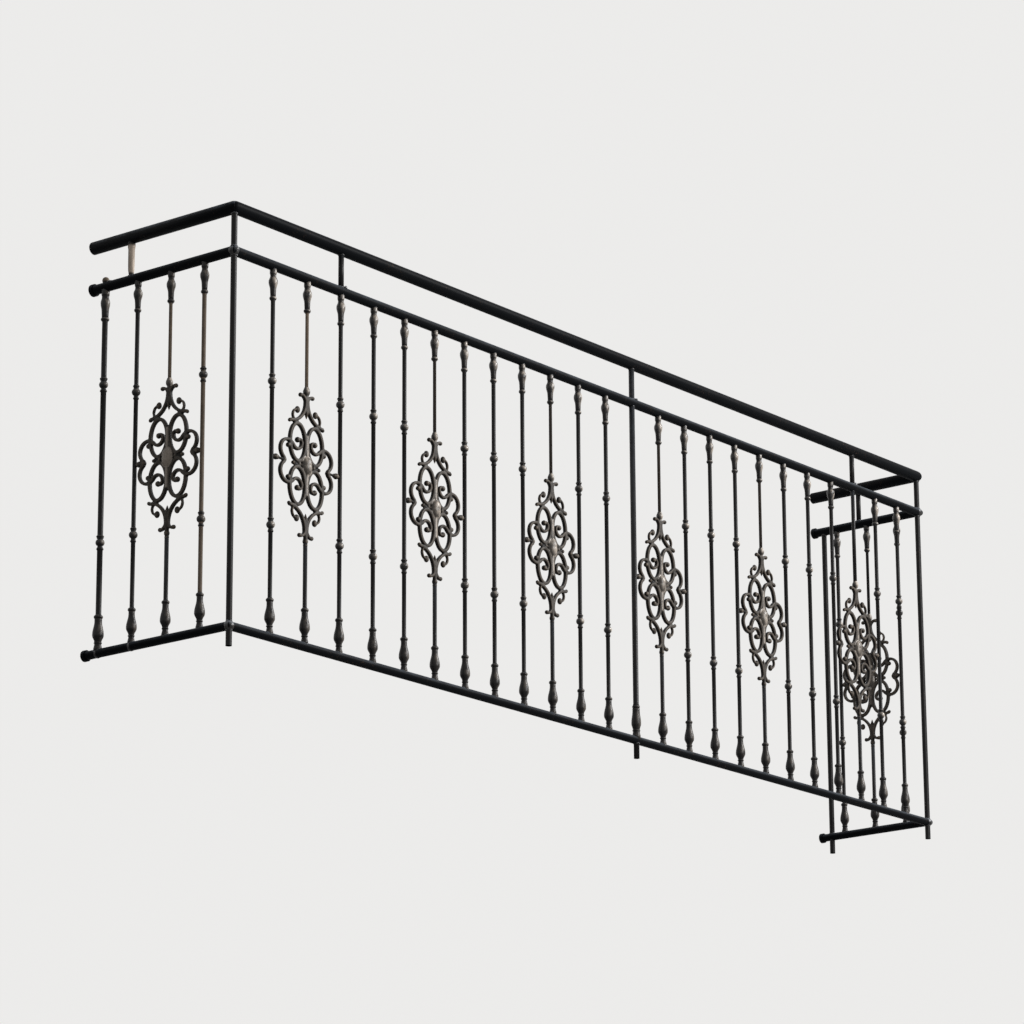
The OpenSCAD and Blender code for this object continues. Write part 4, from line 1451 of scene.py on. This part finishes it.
class RAILING_OT_welds(bpy.types.Operator):
    """Adds the weld beads where uprights meet rails"""

    bl_idname = "railing.welds"
    bl_label = "Add Welds"

    def execute(self, context):
        s = sizes()
        neck, foot = s.shaft_radius + NECK_OUT, s.shaft_radius + FOOT_OUT
        bm = bmesh.new()
        for number in range(1, 2 * MEMBERS_PER_SIDE + 1):
            if number != MEMBERS_PER_SIDE + 1:
                head = s.shaft_radius + 0.4 * MM if number == PLAIN_MEMBER else neck
                weld_member(bm, member_x(number), 0.0, ALONG_X, head, foot, number * 3.7)
        close_up(bm)
        add_piece(bm, "welds_front", "welds")
        for side, x in (("left", LEFT_X), ("right", RIGHT_X)):
            bm = bmesh.new()
            near, far = row_ends(f"balusters_{side}")
            for seed, y in enumerate((near, (near + far) / 2, far)):
                weld_member(bm, x, y, ALONG_Y, neck, foot, 40.3 + seed * 2.9)
            if side == "left":
                heavy = s.heavy_radius
                weld_member(bm, x, HEAVY_Y, ALONG_Y, heavy + NECK_OUT, heavy + FOOT_OUT, 61.0)
            close_up(bm)
            add_piece(bm, f"welds_{side}", "welds")
        bm = bmesh.new()
        self.weld_posts(bm, s.weld)
        self.weld_struts(bm, s.strut_radius, s.weld)
        self.add_lumps(bm)
        close_up(bm)
        add_piece(bm, "welds_posts", "welds")
        return {"FINISHED"}

    def weld_posts(self, bm, size):
        """Beads where the rails pass the posts. The middle post's vase covers the top of its bottom rail."""
        beads = (
            (MID_RAIL, True, 1.25), (MID_RAIL, False, 1.0), (HAND_RAIL, False, 1.0),
            (LOW_RAIL, False, 1.0), (LOW_RAIL, True, 1.0))
        for seed, x in enumerate((LEFT_X, MIDDLE_X, RIGHT_X)):
            along, last = (ALONG_X, -1) if x == MIDDLE_X else (CORNER, None)
            for step, (rail, upper, share) in enumerate(beads[:last]):
                seam = on_rail(rail, along, upper)
                weld_ring(bm, x, 0.0, seam, POST_R, size * share, 70 + 5 * step + seed)
        weld_ring(bm, RIGHT_X, WALL_POST_Y, on_rail(MID_RAIL, ALONG_Y, False), POST_R, size, 95)
        weld_ring(bm, RIGHT_X, WALL_POST_Y, on_rail(LOW_RAIL, ALONG_Y, True), POST_R, size, 96)

    def weld_struts(self, bm, radius, size):
        """Beads at the foot and head of each strut."""
        for seed, number in enumerate(STRUT_MEMBERS):
            x = member_x(number)
            weld_ring(bm, x, 0.0, on_rail(MID_RAIL, ALONG_X, True), radius, size, 100 + seed)
            weld_ring(bm, x, 0.0, on_rail(HAND_RAIL, ALONG_X, False), radius, size, 105 + seed)
        for seed, (x, y) in enumerate(((LEFT_X, LEFT_STRUT_Y), (RIGHT_X, RIGHT_STRUT_Y))):
            weld_ring(bm, x, y, on_rail(MID_RAIL, ALONG_Y, True), radius, size, 110 + seed)
            weld_ring(bm, x, y, on_rail(HAND_RAIL, ALONG_Y, False), radius + 1 * MM, size, 112 + seed)

    def add_lumps(self, bm):
        """Weld knuckles at the corners, lumps beside the posts and bands on the left return's bottom rail."""
        for seed, x in enumerate((LEFT_X, RIGHT_X)):
            lump(bm, (x, 0.0, MID_Z), (MID_R + 1.5 * MM,) * 3, 120 + seed, 0.14)
            lump(bm, (x, 0.0, LOW_Z), (LOW_R + 2.0 * MM,) * 3, 124 + seed, 0.14)
        for seed, x in enumerate([MIDDLE_X] + [member_x(number) for number in STRUT_MEMBERS]):
            place = (x + 8.5 * MM, -5 * MM, MID_Z + MID_R - 2 * MM)
            lump(bm, place, (6.5 * MM, 5 * MM, 4.5 * MM), 130 + seed, 0.4)
        place = (LEFT_X - 3 * MM, HEAVY_Y - 15 * MM, MID_Z + MID_R - 2.5 * MM)
        lump(bm, place, (4.5 * MM, 9 * MM, 3.6 * MM), 140, 0.4)
        for seed, y in enumerate((HEAVY_Y, row_ends("balusters_left")[1])):
            weld_band(bm, y, 150 + seed)


class RAILING_PT_panel(bpy.types.Panel):
    """Lists the railing's steps and settings"""

    bl_idname = "RAILING_PT_panel"
    bl_label = "Iron Balcony Railing"
    bl_space_type = "VIEW_3D"
    bl_region_type = "UI"
    bl_category = "Railing"

    def draw(self, context):
        layout = self.layout
        scene = context.scene
        for step in STEPS:
            layout.operator(step.bl_idname, text=step.bl_label)
        for group in (scene.railing_sizes, scene.railing_colours, scene.railing_stage):
            box = layout.box()
            for name in group.__annotations__:
                box.prop(group, name)


STEPS = (
    RAILING_OT_stage, RAILING_OT_rails, RAILING_OT_posts, RAILING_OT_balusters, RAILING_OT_castings,
    RAILING_OT_welds,
)
CLASSES = (RailingSizes, RailingColours, RailingStage) + STEPS + (RAILING_PT_panel,)


def register():
    """Registers the settings, the steps and the panel."""
    for item in CLASSES:
        bpy.utils.register_class(item)
    bpy.types.Scene.railing_sizes = bpy.props.PointerProperty(type=RailingSizes)
    bpy.types.Scene.railing_colours = bpy.props.PointerProperty(type=RailingColours)
    bpy.types.Scene.railing_stage = bpy.props.PointerProperty(type=RailingStage)


def unregister():
    """Takes them out again."""
    del bpy.types.Scene.railing_stage
    del bpy.types.Scene.railing_colours
    del bpy.types.Scene.railing_sizes
    for item in reversed(CLASSES):
        bpy.utils.unregister_class(item)


def main():
    """Runs every step in order."""
    register()
    bpy.ops.railing.stage()
    bpy.ops.railing.rails()
    bpy.ops.railing.posts()
    bpy.ops.railing.balusters()
    bpy.ops.railing.castings()
    bpy.ops.railing.welds()


if __name__ == "__main__":
    main()
